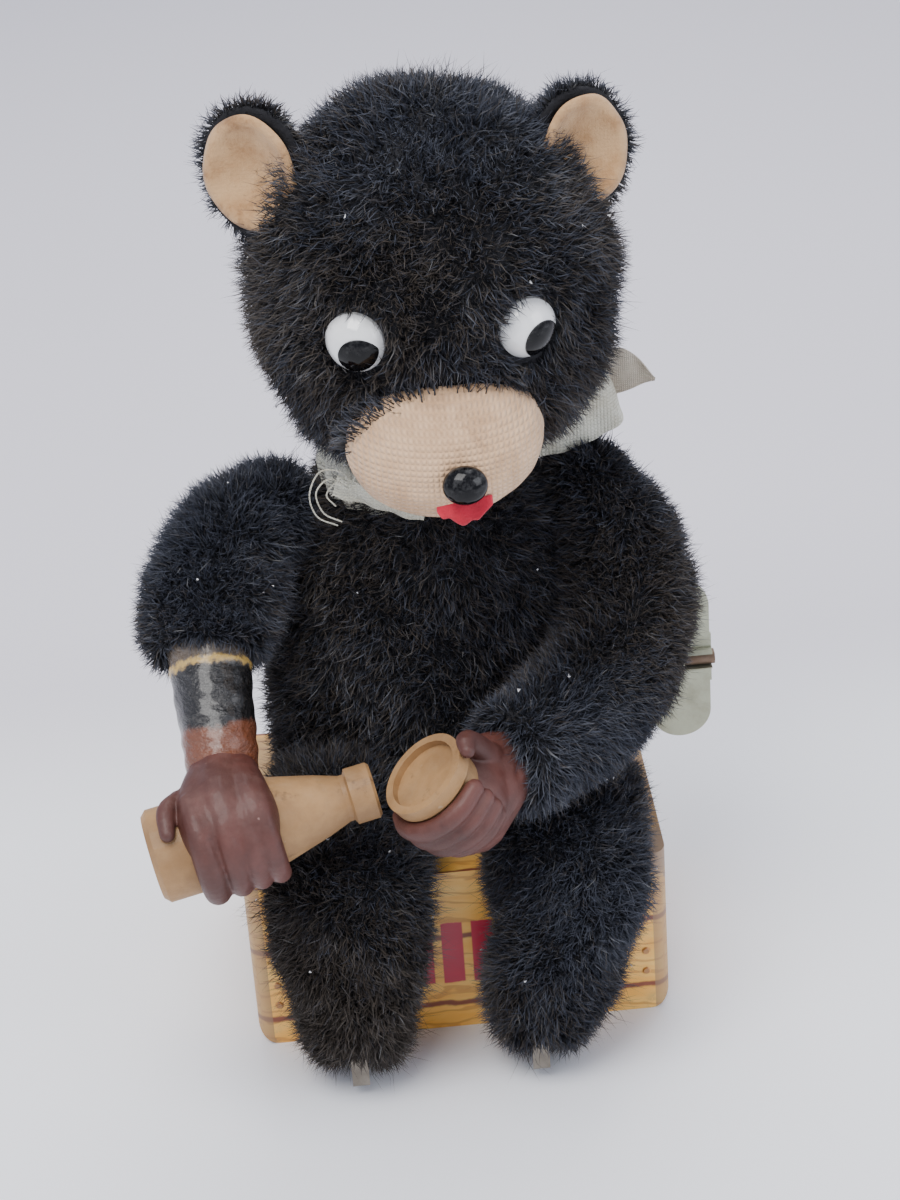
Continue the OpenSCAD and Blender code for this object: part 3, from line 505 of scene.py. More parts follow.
@dataclass(frozen=True)
class PrintedCrate(Finish):
    """Tin printed as a wooden crate: planks, seams, nail heads, bars of red print and wear."""

    wood: Colour = (0.95, 0.46, 0.065)
    pale: Colour = (1.0, 0.60, 0.14)
    dark: Colour = (0.52, 0.20, 0.035)
    seam: Colour = (0.24, 0.055, 0.02)
    print_red: Colour = (0.62, 0.008, 0.05)
    worn: Colour = (0.27, 0.17, 0.10)
    half_w: float = 0.040
    half_d: float = 0.028
    height: float = 0.036
    seams: tuple[float, float] = (0.0057, 0.0213)
    nail_rows: tuple[float, ...] = (0.009, 0.0137, 0.0209 + 0.0037, 0.0326)

    def paint(self, g: Graph, shader: bpy.types.Node, effects: Effects) -> None:
        """Chooses the printed pattern by which way each face looks."""
        at = g.place()
        x, y, z = g.parts(at)
        nx, ny, nz = (g.maths("ABSOLUTE", v) for v in g.parts(g.node("NewGeometry").outputs["Normal"]))
        facing_side = g.ramp(nx, 0.6, 0.75)
        facing_up = g.ramp(nz, 0.6, 0.75)
        across = g.blend(facing_side, g.vector(x, z, y), g.vector(y, z, x))
        across = g.blend(facing_up, across, g.vector(x, y, z))
        wood = self.group(g, effects.wood, Vector=across)
        base = g.blend(g.ramp(wood.outputs["Streaks"], 0.3, 0.7), self.wood, self.pale)
        base = g.blend(g.maths("MULTIPLY", wood.outputs["Lines"], 0.55), base, self.dark)
        wobble = g.maths("MULTIPLY", g.maths("SUBTRACT", g.noise(at, 240.0, 4.0), 0.5), 0.0012)
        level = g.maths("ADD", z, wobble)
        upright = g.maths("SUBTRACT", 1.0, facing_up)
        marks = [g.band(level, s - 0.0006, s + 0.0006, 0.0003) for s in self.seams]
        seams = g.maths("MULTIPLY", g.maths("MAXIMUM", *marks), upright)
        top_line = g.maths("ADD", y, wobble)
        top = g.maths("MULTIPLY", g.band(g.maths("PINGPONG", top_line, 0.0093), 0.0088, 0.02, 0.0003), facing_up)
        base = g.blend(g.maths("MAXIMUM", seams, top), base, self.seam)
        base = g.blend(g.maths("MULTIPLY", self.nails(g, x, y, z, wobble), 0.85), base, self.dark)
        front = g.maths("LESS_THAN", y, -self.half_d + 0.002)
        bars = g.maths("MULTIPLY", g.maths("MULTIPLY", self.bars(g, x, z, wobble), front), upright)
        faded_red = tuple(0.7 * c for c in self.print_red)
        base = g.blend(bars, base, g.blend(wood.outputs["Streaks"], self.print_red, faded_red))
        wear = self.wear_mask(g, at, x, z, effects)
        base = g.blend(wear, base, self.worn)
        g.put(shader.inputs["Base Color"], base)
        g.put(shader.inputs["Roughness"], g.between(g.maths("ADD", wear, g.noise(at, 300.0)), 0.28, 0.62))
        g.put(shader.inputs["Normal"], g.bump(g.noise(at, 160.0, 6.0), 0.0002))
        shader.inputs["Coat Weight"].default_value = 0.35
        shader.inputs["Coat Roughness"].default_value = 0.25

    def nails(self, g: Graph, x: Socket, y: Socket, z: Socket, wobble: Socket) -> Socket:
        """Round nail heads near the ends of each plank."""
        along = g.maths("SUBTRACT", g.maths("ABSOLUTE", x), self.half_w - 0.0045)
        masks = []
        for row in self.nail_rows:
            up = g.maths("SUBTRACT", z, row)
            span = g.maths("SQRT", g.maths("ADD", g.maths("MULTIPLY", along, along), g.maths("MULTIPLY", up, up)))
            masks.append(g.maths("SUBTRACT", 1.0, g.ramp(g.maths("ADD", span, wobble), 0.0006, 0.0010)))
        both = g.maths("MAXIMUM", g.maths("MAXIMUM", masks[0], masks[1]), g.maths("MAXIMUM", masks[2], masks[3]))
        return both

    def bars(self, g: Graph, x: Socket, z: Socket, wobble: Socket) -> Socket:
        """Plain upright bars of red print on the front."""
        tall = g.band(g.maths("ADD", z, wobble), 0.0105, 0.0245, 0.0002)
        beside = g.maths("PINGPONG", g.maths("ADD", x, 0.0015), 0.0029)
        wide = g.maths("SUBTRACT", 1.0, g.ramp(beside, 0.0019, 0.0022))
        inside = g.band(x, -0.020, 0.020, 0.0002)
        return g.maths("MULTIPLY", g.maths("MULTIPLY", tall, wide), inside)

    def wear_mask(self, g: Graph, at: Socket, x: Socket, z: Socket, effects: Effects) -> Socket:
        """Rubbed corners, chips and the bare patch at the top's front corner."""
        edges = self.group(g, effects.wear, Edge=0.7, Chips=0.35).outputs["Mask"]
        rough = g.noise(at, 170.0, 8.0, 0.7)
        away = g.node("VectorMath", operation="DISTANCE")
        g.put(away.inputs[0], at)
        away.inputs[1].default_value = (self.half_w - 0.004, -self.half_d + 0.004, self.height)
        patch = g.maths("ADD", away.outputs["Value"], g.maths("MULTIPLY", g.maths("SUBTRACT", rough, 0.5), 0.02))
        bare = g.maths("SUBTRACT", 1.0, g.ramp(patch, 0.006, 0.009))
        low_corner = g.maths("MULTIPLY", g.maths("SUBTRACT", 1.0, g.ramp(z, 0.001, 0.005)),
                             g.ramp(g.maths("ABSOLUTE", x), self.half_w - 0.006, self.half_w - 0.002))
        low = g.maths("MULTIPLY", low_corner, g.ramp(rough, 0.42, 0.55))
        return g.maths("MAXIMUM", edges, g.maths("MAXIMUM", bare, low))


@dataclass(frozen=True)
class Tape(Finish):
    """Clear tape, yellowed along its glue line, over a scrap of black pile."""

    def paint(self, g: Graph, shader: bpy.types.Node, effects: Effects) -> None:
        """Mixes the tape's zones along the forearm."""
        along, around, _ = g.parts(g.node("Attribute", attribute_name="wrap").outputs["Vector"])
        at = g.place()
        rough = g.noise(at, 420.0, 7.0, 0.7)
        shift = g.maths("ADD", along, g.maths("MULTIPLY", g.maths("SUBTRACT", rough, 0.5), 0.14))
        grey = g.blend(rough, (0.050, 0.040, 0.032), (0.20, 0.155, 0.115))
        rust = g.blend(rough, (0.075, 0.024, 0.013), (0.24, 0.080, 0.036))
        base = g.blend(g.ramp(shift, 0.55, 0.72), grey, rust)
        hair = g.ramp(g.noise(g.stretch(at, (3.0, 3.0, 1.0)), 900.0, 6.0), 0.45, 0.6)
        black = g.blend(hair, (0.003, 0.003, 0.0035), (0.020, 0.018, 0.017))
        sideways = g.maths("ABSOLUTE", g.maths("SUBTRACT", around, 0.5))
        slanted = g.maths("ADD", shift, g.maths("MULTIPLY", sideways, 0.42))
        below = g.maths("SUBTRACT", 1.0, g.ramp(slanted, 0.74, 0.80))
        scrap = g.maths("MULTIPLY", g.ramp(shift, 0.29, 0.33), below)
        base = g.blend(scrap, base, black)
        glue = g.band(shift, 0.26, 0.30, 0.015)
        base = g.blend(glue, base, (0.50, 0.33, 0.10))
        g.put(shader.inputs["Base Color"], base)
        g.put(shader.inputs["Roughness"], g.between(rough, 0.12, 0.4))
        wrinkles = g.noise(g.stretch(at, (1.0, 1.0, 2.4)), 330.0, 5.0, 0.6)
        g.put(shader.inputs["Normal"], g.bump(wrinkles, 0.0009))
        shader.inputs["Coat Weight"].default_value = 0.45
        shader.inputs["Coat Roughness"].default_value = 0.12


# ---- Mesh helpers --------------------------------------------------------------------------


def deselect() -> None:
    """Leaves nothing selected, so that an operator acts only on what is picked next."""
    if bpy.context.object and bpy.context.object.mode != "OBJECT":
        bpy.ops.object.mode_set(mode="OBJECT")
    bpy.ops.object.select_all(action="DESELECT")


def activate(piece: Object) -> None:
    """Makes one piece the selected and active one."""
    deselect()
    piece.select_set(True)
    bpy.context.view_layer.objects.active = piece


def apply_modifier(piece: Object, kind: str, **values: object) -> None:
    """Adds a modifier and applies it.

    Args:
        piece: the object to change.
        kind: the modifier's type.
        values: its settings.
    """
    activate(piece)
    made = piece.modifiers.new(kind.title(), kind)
    for name, value in values.items():
        setattr(made, name, value)
    bpy.ops.object.modifier_apply(modifier=made.name)


def settle(piece: Object) -> None:
    """Puts a piece's place, turn and scale into its mesh."""
    activate(piece)
    bpy.ops.object.transform_apply(location=True, rotation=True, scale=True)


def smooth(piece: Object, angle: float = 60.0) -> None:
    """Shades a piece smoothly, apart from its sharp edges."""
    activate(piece)
    bpy.ops.object.shade_smooth_by_angle(angle=math.radians(angle))


def from_points(name: str, points: np.ndarray, faces: list[tuple[int, ...]]) -> Object:
    """Makes a mesh object of points and faces, for shapes that operators don't give."""
    mesh = bpy.data.meshes.new(name)
    mesh.from_pydata([tuple(p) for p in points], [], faces)
    mesh.update()
    piece = bpy.data.objects.new(name, mesh)
    bpy.context.scene.collection.objects.link(piece)
    return piece


def copy_of(node: str, name: str) -> Object:
    """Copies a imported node's mesh into a new object, with its loose triangles joined.

    Args:
        node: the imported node.
        name: the new object's name.

    Returns:
        The copy.
    """
    source = bpy.data.objects[FRAME["nodes"][node].name]
    piece = bpy.data.objects.new(name, source.data.copy())
    piece.data.materials.clear()
    bpy.context.scene.collection.objects.link(piece)
    built = bmesh.new()
    built.from_mesh(piece.data)
    bmesh.ops.remove_doubles(built, verts=built.verts, dist=2e-6)
    built.to_mesh(piece.data)
    built.free()
    return piece


def finish_piece(piece: Object, body: Body, material: bpy.types.Material,
                 replaces: tuple[str, ...] = ()) -> None:
    """Gives a piece its material, its body and the nodes it stands for."""
    piece.data.materials.clear()
    piece.data.materials.append(material)
    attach(piece, body.value)
    if replaces:
        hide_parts(*replaces)
    log.info("%s: %d faces on %s", piece.name, len(piece.data.polygons), body.value)


def wave_field(points: np.ndarray, per_metre: float, seed: int) -> np.ndarray:
    """A smooth vector field that bends pile into tufts.

    Args:
        points: places in metres, one a row.
        per_metre: how quickly the field changes.
        seed: which of the fields.

    Returns:
        One vector a row, each part from about -1 to 1.
    """
    rng = np.random.default_rng(seed)
    total = np.zeros_like(points)
    for _ in range(5):
        ways = rng.normal(size=(3, 3)) * per_metre
        phase = rng.uniform(0, 2 * np.pi, 3)
        total += np.sin(points @ ways.T + phase)
    return total / 3.0


def unit(vectors: np.ndarray) -> np.ndarray:
    """Scales each row to length 1."""
    return vectors / np.maximum(np.linalg.norm(vectors, axis=1, keepdims=True), 1e-12)


def smooth_line(rows: np.ndarray, steps: int) -> np.ndarray:
    """Draws a smooth line through rows of values.

    Args:
        rows: the places or radii that it passes, one a row.
        steps: new rows for each given one.

    Returns:
        The finer rows.
    """
    ends = np.vstack([2 * rows[0] - rows[1], rows, 2 * rows[-1] - rows[-2]])
    out = []
    for i in range(1, len(ends) - 2):
        a, b, c, d = ends[i - 1:i + 3]
        for t in np.arange(steps) / steps:
            bend = (2 * a - 5 * b + 4 * c - d) * t * t + (3 * b - a - 3 * c + d) * t**3
            out.append(0.5 * (2 * b + (c - a) * t + bend))
    out.append(rows[-1])
    return np.array(out)


def frames_along(line: np.ndarray) -> tuple[np.ndarray, np.ndarray, np.ndarray]:
    """Gives the way along a line and two ways across it, turned as little as possible."""
    ahead = unit(np.gradient(line, axis=0))
    across = np.zeros_like(line)
    start = np.array((0.0, 0.0, 1.0)) if abs(ahead[0][2]) < 0.9 else np.array((1.0, 0.0, 0.0))
    across[0] = unit(np.cross(ahead[:1], start))[0]
    for i in range(1, len(line)):
        across[i] = unit((across[i - 1] - ahead[i] * (across[i - 1] @ ahead[i]))[None])[0]
    return ahead, across, np.cross(ahead, across)


def grid_faces(rows: int, columns: int, closed: bool) -> list[tuple[int, ...]]:
    """Lists the faces of a grid of points, row by row; a closed one joins its last column to its first."""
    faces = []
    for i in range(rows - 1):
        for j in range(columns if closed else columns - 1):
            k = (j + 1) % columns
            faces.append((i * columns + j, i * columns + k, (i + 1) * columns + k, (i + 1) * columns + j))
    return faces


def joined(name: str, parts: list[Object]) -> Object:
    """Joins objects into the first of them, under a new name."""
    activate(parts[0])
    for part in parts[1:]:
        part.select_set(True)
    if len(parts) > 1:
        bpy.ops.object.join()
    parts[0].name = name
    return parts[0]


def slice_off(piece: Object, at: np.ndarray, way: np.ndarray) -> None:
    """Cuts off what lies beyond a plane and closes the cut."""
    activate(piece)
    bpy.ops.object.mode_set(mode="EDIT")
    bpy.ops.mesh.select_all(action="SELECT")
    bpy.ops.mesh.bisect(plane_co=tuple(at), plane_no=tuple(way), use_fill=True, clear_outer=True)
    bpy.ops.object.mode_set(mode="OBJECT")


def vertex_rows(piece: Object, what: str = "co") -> np.ndarray:
    """Reads the places or normals of a piece's vertices, one a row."""
    rows = np.empty(len(piece.data.vertices) * 3)
    piece.data.vertices.foreach_get(what, rows)
    return rows.reshape(-1, 3)


def move_vertices(piece: Object, rows: np.ndarray) -> None:
    """Writes the places of a piece's vertices."""
    piece.data.vertices.foreach_set("co", rows.ravel())
    piece.data.update()


# ---- Pile ----------------------------------------------------------------------------------


@dataclass(frozen=True)
class KeepOut:
    """A ball that no strand may enter, round an eye, the muzzle or a hand."""

    centre: tuple[float, float, float]
    radius: float


# Cosine to the bald side, above which nothing grows
BALD_ABOVE = 0.35


@dataclass(frozen=True)
class Pile:
    """Short plush pile: how long, how dense and how tousled it is."""

    strands: int
    length: float = 0.0042
    width: float = 0.00013
    tousle: float = 0.55
    tuft: float = 0.55
    droop: float = 0.25
    seed: int = 1
    keep_out: tuple[KeepOut, ...] = ()
    bald_way: tuple[float, float, float] | None = None
    above: tuple[tuple[float, float], ...] = ()

    def roots(self, skin: Object) -> tuple[np.ndarray, np.ndarray]:
        """Spreads roots evenly over the outside of a skin.

        Args:
            skin: the mesh that carries the pile.

        Returns:
            The roots' places and the surface normals there.
        """
        mesh = skin.data
        mesh.calc_loop_triangles()
        rng = np.random.default_rng(self.seed)
        places = np.array([v.co for v in mesh.vertices])
        normals = np.array([v.normal for v in mesh.vertices])
        triangles = np.array([t.vertices for t in mesh.loop_triangles])
        corners = places[triangles]
        area = np.linalg.norm(np.cross(corners[:, 1] - corners[:, 0], corners[:, 2] - corners[:, 0]), axis=1)
        outside = self.outside(skin, corners)
        area = area * outside
        chosen = rng.choice(len(triangles), size=self.strands, p=area / area.sum())
        a, b = rng.uniform(size=(2, self.strands))
        flip = a + b > 1
        a[flip], b[flip] = 1 - a[flip], 1 - b[flip]
        weights = np.stack([1 - a - b, a, b], axis=1)[:, :, None]
        at = (corners[chosen] * weights).sum(axis=1)
        way = unit((normals[triangles[chosen]] * weights).sum(axis=1))
        keep = np.ones(len(at), bool)
        for ball in self.keep_out:
            keep &= np.linalg.norm(at + way * self.length * 0.4 - np.array(ball.centre), axis=1) > ball.radius
        if self.bald_way is not None:
            keep &= way @ np.array(self.bald_way) < BALD_ABOVE
        if self.above:
            edge = np.array(self.above) * MM
            seen_height = at @ SEEN_UP + rng.normal(size=len(at)) * 0.0006
            keep &= seen_height > np.interp(at[:, 0], edge[:, 0], edge[:, 1])
        return at[keep], way[keep]

    @staticmethod
    def outside(skin: Object, corners: np.ndarray) -> np.ndarray:
        """Marks the faces from which nothing of the same skin is in the way outwards."""
        tree = BVHTree.FromObject(skin, bpy.context.evaluated_depsgraph_get())
        middle = corners.mean(axis=1)
        way = unit(np.cross(corners[:, 1] - corners[:, 0], corners[:, 2] - corners[:, 0]))
        open_face = np.ones(len(middle))
        for i, (m, w) in enumerate(zip(middle, way)):
            start = Vector(m + w * 0.0003)
            if tree.ray_cast(start, Vector(w), 0.09)[0] is not None:
                open_face[i] = 0.0
        return open_face

    def grow(self, skin: Object, name: str) -> Object:
        """Grows the strands as one mesh, each a bent blade of two faces.

        Args:
            skin: the mesh that carries the pile.
            name: the new object's name.

        Returns:
            The pile.
        """
        at, way = self.roots(skin)
        count = len(at)
        rng = np.random.default_rng(self.seed + 7)
        loose = rng.normal(size=(count, 3)) * self.tousle
        tufts = wave_field(at, 420.0, self.seed) * self.tuft + wave_field(at, 130.0, self.seed + 3) * 0.3
        lean = unit(way + loose * 0.6 + tufts + np.array([0, 0, -self.droop]))
        lean = unit(lean + way * np.maximum(0.25 - (lean * way).sum(axis=1, keepdims=True), 0) * 2)
        length = self.length * rng.uniform(0.55, 1.2, (count, 1))
        length *= 1 + 0.25 * wave_field(at, 260.0, self.seed + 5)[:, :1]
        curl = unit(rng.normal(size=(count, 3)))
        knee = at + lean * length * 0.55
        tip = knee + unit(lean + curl * 0.75 + way * 0.2) * length * 0.5
        side = unit(np.cross(lean, rng.normal(size=(count, 3)))) * self.width * rng.uniform(0.6, 1.3, (count, 1))
        root = at - way * 0.0005
        points = np.stack([root - side, root + side, knee - side * 0.75, knee + side * 0.75, tip], axis=1)
        first = np.arange(count)[:, None] * 5
        quads = first + np.array([[0, 1, 3, 2]])
        ends = first + np.array([[2, 3, 4]])
        pile = self.mesh_of(name, points.reshape(-1, 3), quads, ends)
        own = rng.uniform(0.01, 0.99, count)
        patch = 0.5 + 0.5 * wave_field(at, 60.0, self.seed + 9)[:, 0]
        self.tint(pile, own, np.clip(patch, 0, 1))
        return pile

    @staticmethod
    def mesh_of(name: str, points: np.ndarray, quads: np.ndarray, ends: np.ndarray) -> Object:
        """Builds one mesh of all the blades in a few array writes."""
        mesh = bpy.data.meshes.new(name)
        count = len(quads)
        mesh.vertices.add(len(points))
        mesh.vertices.foreach_set("co", points.ravel())
        loops = np.concatenate([quads, ends], axis=1).ravel()
        mesh.loops.add(len(loops))
        mesh.loops.foreach_set("vertex_index", loops)
        starts = (np.arange(count)[:, None] * 7 + np.array([[0, 4]])).ravel()
        mesh.polygons.add(2 * count)
        mesh.polygons.foreach_set("loop_start", starts)
        mesh.update(calc_edges=True)
        mesh.polygons.foreach_set("use_smooth", np.ones(2 * count, bool))
        piece = bpy.data.objects.new(name, mesh)
        bpy.context.scene.collection.objects.link(piece)
        return piece

    @staticmethod
    def tint(pile: Object, own: np.ndarray, patch: np.ndarray) -> None:
        """Writes each strand's own number and height, as an attribute and as its bake map."""
        count = len(own)
        # the height along each strand, which the pile's material turns into painted shade towards the root
        up = np.tile([0.02, 0.02, 0.55, 0.55, 0.98], count)
        aside = np.tile([-0.004, 0.004, -0.004, 0.004, 0.0], count)
        values = np.stack([np.repeat(own, 5) + aside, up, np.repeat(patch, 5)], axis=1)
        strand = pile.data.attributes.new("strand", "FLOAT_VECTOR", "POINT")
        strand.data.foreach_set("vector", values.ravel())
        bake = pile.data.uv_layers.new(name="OFBake")
        order = np.empty(len(pile.data.loops), int)
        pile.data.loops.foreach_get("vertex_index", order)
        bake.data.foreach_set("uv", values[order][:, :2].ravel())


@dataclass
class PlushPart:
    """A plush-covered part: its backing skin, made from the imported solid, and its pile."""

    node: str
    body: Body
    pile: Pile
    voxel: float = 0.0009
    relax: int = 6
    fill: float | None = None
    pieces: list[Object] = field(default_factory=list)

    def build(self, look: Looks) -> None:
        """Builds the skin and grows the pile on it.

        Args:
            look: the finished materials.
        """
        skin = copy_of(self.node, self.node + "_backing")
        apply_modifier(skin, "REMESH", mode="VOXEL", voxel_size=self.voxel)
        apply_modifier(skin, "SMOOTH", factor=0.6, iterations=self.relax)
        smooth(skin, 180.0)
        finish_piece(skin, self.body, look["backing"], (self.node,))
        pile = self.pile.grow(skin, self.node + "_pile")
        finish_piece(pile, self.body, look["pile"])
        wisps = replace(self.pile, strands=self.pile.strands // 11, length=self.pile.length * 1.42,
                        width=0.00007, tousle=0.9, seed=self.pile.seed + 100)
        awn = wisps.grow(skin, self.node + "_wisps")
        finish_piece(awn, self.body, look["pile"])
        lint = self.lint(skin)
        finish_piece(lint, self.body, look["lint"])
        self.pieces = [skin, pile, awn, lint]

    def lint(self, skin: Object) -> Object:
        """Scatters a few pale specks among the tips of the pile."""
        at, way = replace(self.pile, strands=9, seed=self.pile.seed + 300).roots(skin)
        rng = np.random.default_rng(self.pile.seed + 301)
        points, faces = [], []
        for place, up in zip(at, way):
            middle = place + up * self.pile.length * 0.85
            corners = rng.normal(size=(5, 3)) * 0.00022
            faces += [(len(points), len(points) + k, len(points) + k + 1) for k in (1, 2, 3)]
            points += [middle + c for c in corners]
        return from_points(self.node + "_lint", np.array(points), faces)


# ---- Moulded, sewn and cut pieces ----------------------------------------------------------

LOOK_WAY = np.array((0.0334, 0.8740, -0.4848))
SEEN_UP = np.array((0.0, 0.485, 0.874))


@dataclass(frozen=True)
class Round:
    """Places round an axis in millimetres; angle 0 faces the viewer, 90 is a quarter turn on."""

    start: tuple[float, float, float]
    way: tuple[float, float, float]

    def at(self, along: float, angle: float, radius: float) -> np.ndarray:
        """Gives one place.

        Args:
            along: distance along the axis.
            angle: degrees from the viewer's side.
            radius: distance from the axis.

        Returns:
            The place, in millimetres.
        """
        axis = unit(np.array([self.way]))[0]
        front = -unit((LOOK_WAY - axis * (LOOK_WAY @ axis))[None])[0]
        side = np.cross(front, axis)
        turn = math.radians(angle)
        out = math.cos(turn) * front + math.sin(turn) * side
        return np.array(self.start) + axis * along + out * radius


@dataclass(frozen=True)
class Stroke:
    """A round stroke of soft material through places, in millimetres."""

    places: tuple[np.ndarray, ...]
    radii: tuple[float, ...]
    around: int = 16
    steps: int = 4

    def build(self) -> Object:
        """Sweeps the stroke into a closed mesh with domed ends."""
        line = smooth_line(np.array(self.places, float), self.steps) * MM
        size = smooth_line(np.array(self.radii, float)[:, None], self.steps)[:, 0] * MM
        ahead, u, v = frames_along(line)
        domes = np.radians((78.0, 50.0, 24.0))
        rings = [(line[0] - ahead[0] * size[0] * math.sin(k), size[0] * math.cos(k), u[0], v[0]) for k in domes]
        rings += list(zip(line, size, u, v))
        rings += [(line[-1] + ahead[-1] * size[-1] * math.sin(k), size[-1] * math.cos(k), u[-1], v[-1])
                  for k in domes[::-1]]
        turn = np.linspace(0, 2 * math.pi, self.around, endpoint=False)[:, None]
        circles = [c + r * (np.cos(turn) * a + np.sin(turn) * b) for c, r, a, b in rings]
        points = np.array(circles).reshape(-1, 3)
        faces = grid_faces(len(rings), self.around, True)
        faces.append(tuple(range(self.around - 1, -1, -1)))
        faces.append(tuple(range(len(points) - self.around, len(points))))
        return from_points("stroke", points, faces)


@dataclass(frozen=True)
class Crease:
    """A line pressed into a soft surface, in millimetres."""

    places: tuple[np.ndarray, ...]
    depth: float = 0.35
    width: float = 0.5

    def press(self, piece: Object) -> None:
        """Moves the vertices near the line inwards, less towards its ends."""
        line = smooth_line(np.array(self.places, float), 8) * MM
        places, normals = vertex_rows(piece), vertex_rows(piece, "normal")
        away = np.linalg.norm(places[:, None] - line[None], axis=2)
        nearest = away.argmin(axis=1)
        fade = np.sin(np.pi * (nearest + 1) / (len(line) + 1)) ** 0.5
        dip = self.depth * MM * np.exp(-((away.min(axis=1) / (self.width * MM)) ** 2)) * fade
        move_vertices(piece, places - normals * dip[:, None])


@dataclass
class Hand:
    """A moulded vinyl hand: strokes that melt together, with creases pressed in."""

    node: str
    body: Body
    palm: list[Stroke]
    fingers: list[Stroke]
    creases: list[Crease]
    cut: tuple[np.ndarray, np.ndarray] | None = None
    voxel: float = 0.00027

    def build(self, look: Looks) -> None:
        """Builds the hand and gives it its vinyl."""
        hand = joined(self.node + "_vinyl", [s.build() for s in self.palm])
        apply_modifier(hand, "REMESH", mode="VOXEL", voxel_size=self.voxel)
        apply_modifier(hand, "SMOOTH", factor=0.6, iterations=12)
        if self.cut is not None:
            slice_off(hand, self.cut[0] * MM, self.cut[1])
        hand = joined(self.node + "_vinyl", [hand] + [s.build() for s in self.fingers])
        apply_modifier(hand, "REMESH", mode="VOXEL", voxel_size=self.voxel)
        apply_modifier(hand, "SMOOTH", factor=0.6, iterations=5)
        for crease in self.creases:
            crease.press(hand)
        smooth(hand, 180.0)
        finish_piece(hand, self.body, look["skin_vinyl"], (self.node,))


BOTTLE = Round((-53.6, -49.6, 59.9), (0.975, 0.13, 0.16))
CUP = Round((-5.1, -50.8, 73.0), (0.594, 0.158, -0.789))
ELBOW = np.array((-41.6, -15.0, 86.0))
WRIST = np.array((-40.4, -37.0, 68.5))
FOREARM = Round(tuple(ELBOW), tuple(WRIST - ELBOW))
FOREARM_LENGTH = float(np.linalg.norm(WRIST - ELBOW))


def bottle_hand() -> Hand:
    """The right hand: four fingers over the bottle and the thumb behind it."""
    fingers = []
    angles = (50, 20, -10, -40, -70, -98, -118)
    reach = (9.2, 9.6, 9.7, 9.6, 9.3, 8.9, 8.3)
    for along, thick in ((9.3, 2.5), (13.7, 2.3), (17.4, 2.1), (20.8, 2.0)):
        path = tuple(BOTTLE.at(along, a, r) for a, r in zip(angles, reach))
        fingers.append(Stroke(path, tuple(thick * k for k in (1, 1, 1, 1, 0.98, 0.92, 0.8))))
    thumb = Stroke((BOTTLE.at(7.5, 75, 8.5), BOTTLE.at(4.8, 50, 9.4), BOTTLE.at(4.0, 22, 9.5)), (2.1, 1.8, 1.4))
    palm = []
    for spread, start in ((-4.6, 4.7), (0.0, 5.7), (4.9, 4.7)):
        top = BOTTLE.at(14.6 + spread * 0.85, 60, 7.5)
        back = BOTTLE.at(14.7 + spread, 15, 7.8 if spread else 6.4)
        knuckles = BOTTLE.at(14.7 + spread, -18, 8.3 if spread else 7.2)
        width = (start, 4.3, 4.1, 3.1) if spread else (start, 5.3, 5.6, 4.4)
        palm.append(Stroke((WRIST + (spread * 0.3, 0, 0), top, back, knuckles), width))
    first = [FOREARM.at(FOREARM_LENGTH + 1.3 + 0.5 * math.sin(a / 30), a, 6.4) for a in range(-60, 71, 26)]
    second = [FOREARM.at(FOREARM_LENGTH + 2.8 + 0.8 * math.cos(a / 40), a, 7.0) for a in range(-75, 31, 26)]
    third = [FOREARM.at(FOREARM_LENGTH + 4.2, a, 7.6) for a in range(-10, 51, 20)]
    creases = [Crease(tuple(first)), Crease(tuple(second), 0.3), Crease(tuple(third), 0.2)]
    return Hand("right_hand", Body.BOTTLE_ARM, palm, fingers + [thumb], creases)


def cup_hand() -> Hand:
    """The left hand: fingers wrapped round the cup from below and the thumb at its rim."""
    fingers = []
    for along, reach, thick in ((4.7, 9.1, 1.9), (7.9, 8.8, 2.0), (10.9, 8.2, 2.0), (13.6, 6.8, 1.9)):
        path = tuple(CUP.at(along, a, reach) for a in (-110, -84, -56, -28, 0, 28))
        fingers.append(Stroke(path, tuple(thick * k for k in (0.75, 0.92, 1, 1, 1, 0.9))))
    thumb = Stroke((np.array((8.0, -43.0, 69.5)), CUP.at(1.4, 80, 9.7), CUP.at(0.6, 60, 9.6)), (2.6, 2.0, 1.4))
    palm = [
        Stroke((np.array((11.7, -38.5, 67.5)), np.array((5.7, -42.0, 66.3)), np.array((1.8, -46.6, 65.0)),
                np.array((0.8, -48.8, 63.8))), (5.2, 7.2, 9.0, 8.7)),
        Stroke((np.array((12.5, -38.5, 66.5)), np.array((8.0, -43.5, 64.5)), np.array((3.0, -48.0, 61.5))),
               (4.6, 6.0, 7.0)),
    ]
    creases = [Crease(tuple(CUP.at(along + 0.4, a, 10.6) for a in range(-15, 76, 18)), 0.4, 0.55)
               for along in (6.3, 9.4, 12.4)]
    creases.append(Crease((np.array((13.0, -44.5, 70.5)), np.array((11.0, -46.5, 66.0)),
                           np.array((10.5, -46.0, 61.0))), 0.4, 0.7))
    cut = (CUP.at(3.0, 0, 0), -np.array(CUP.way))
    return Hand("left_hand", Body.CUP_ARM, palm, fingers + [thumb], creases, cut)


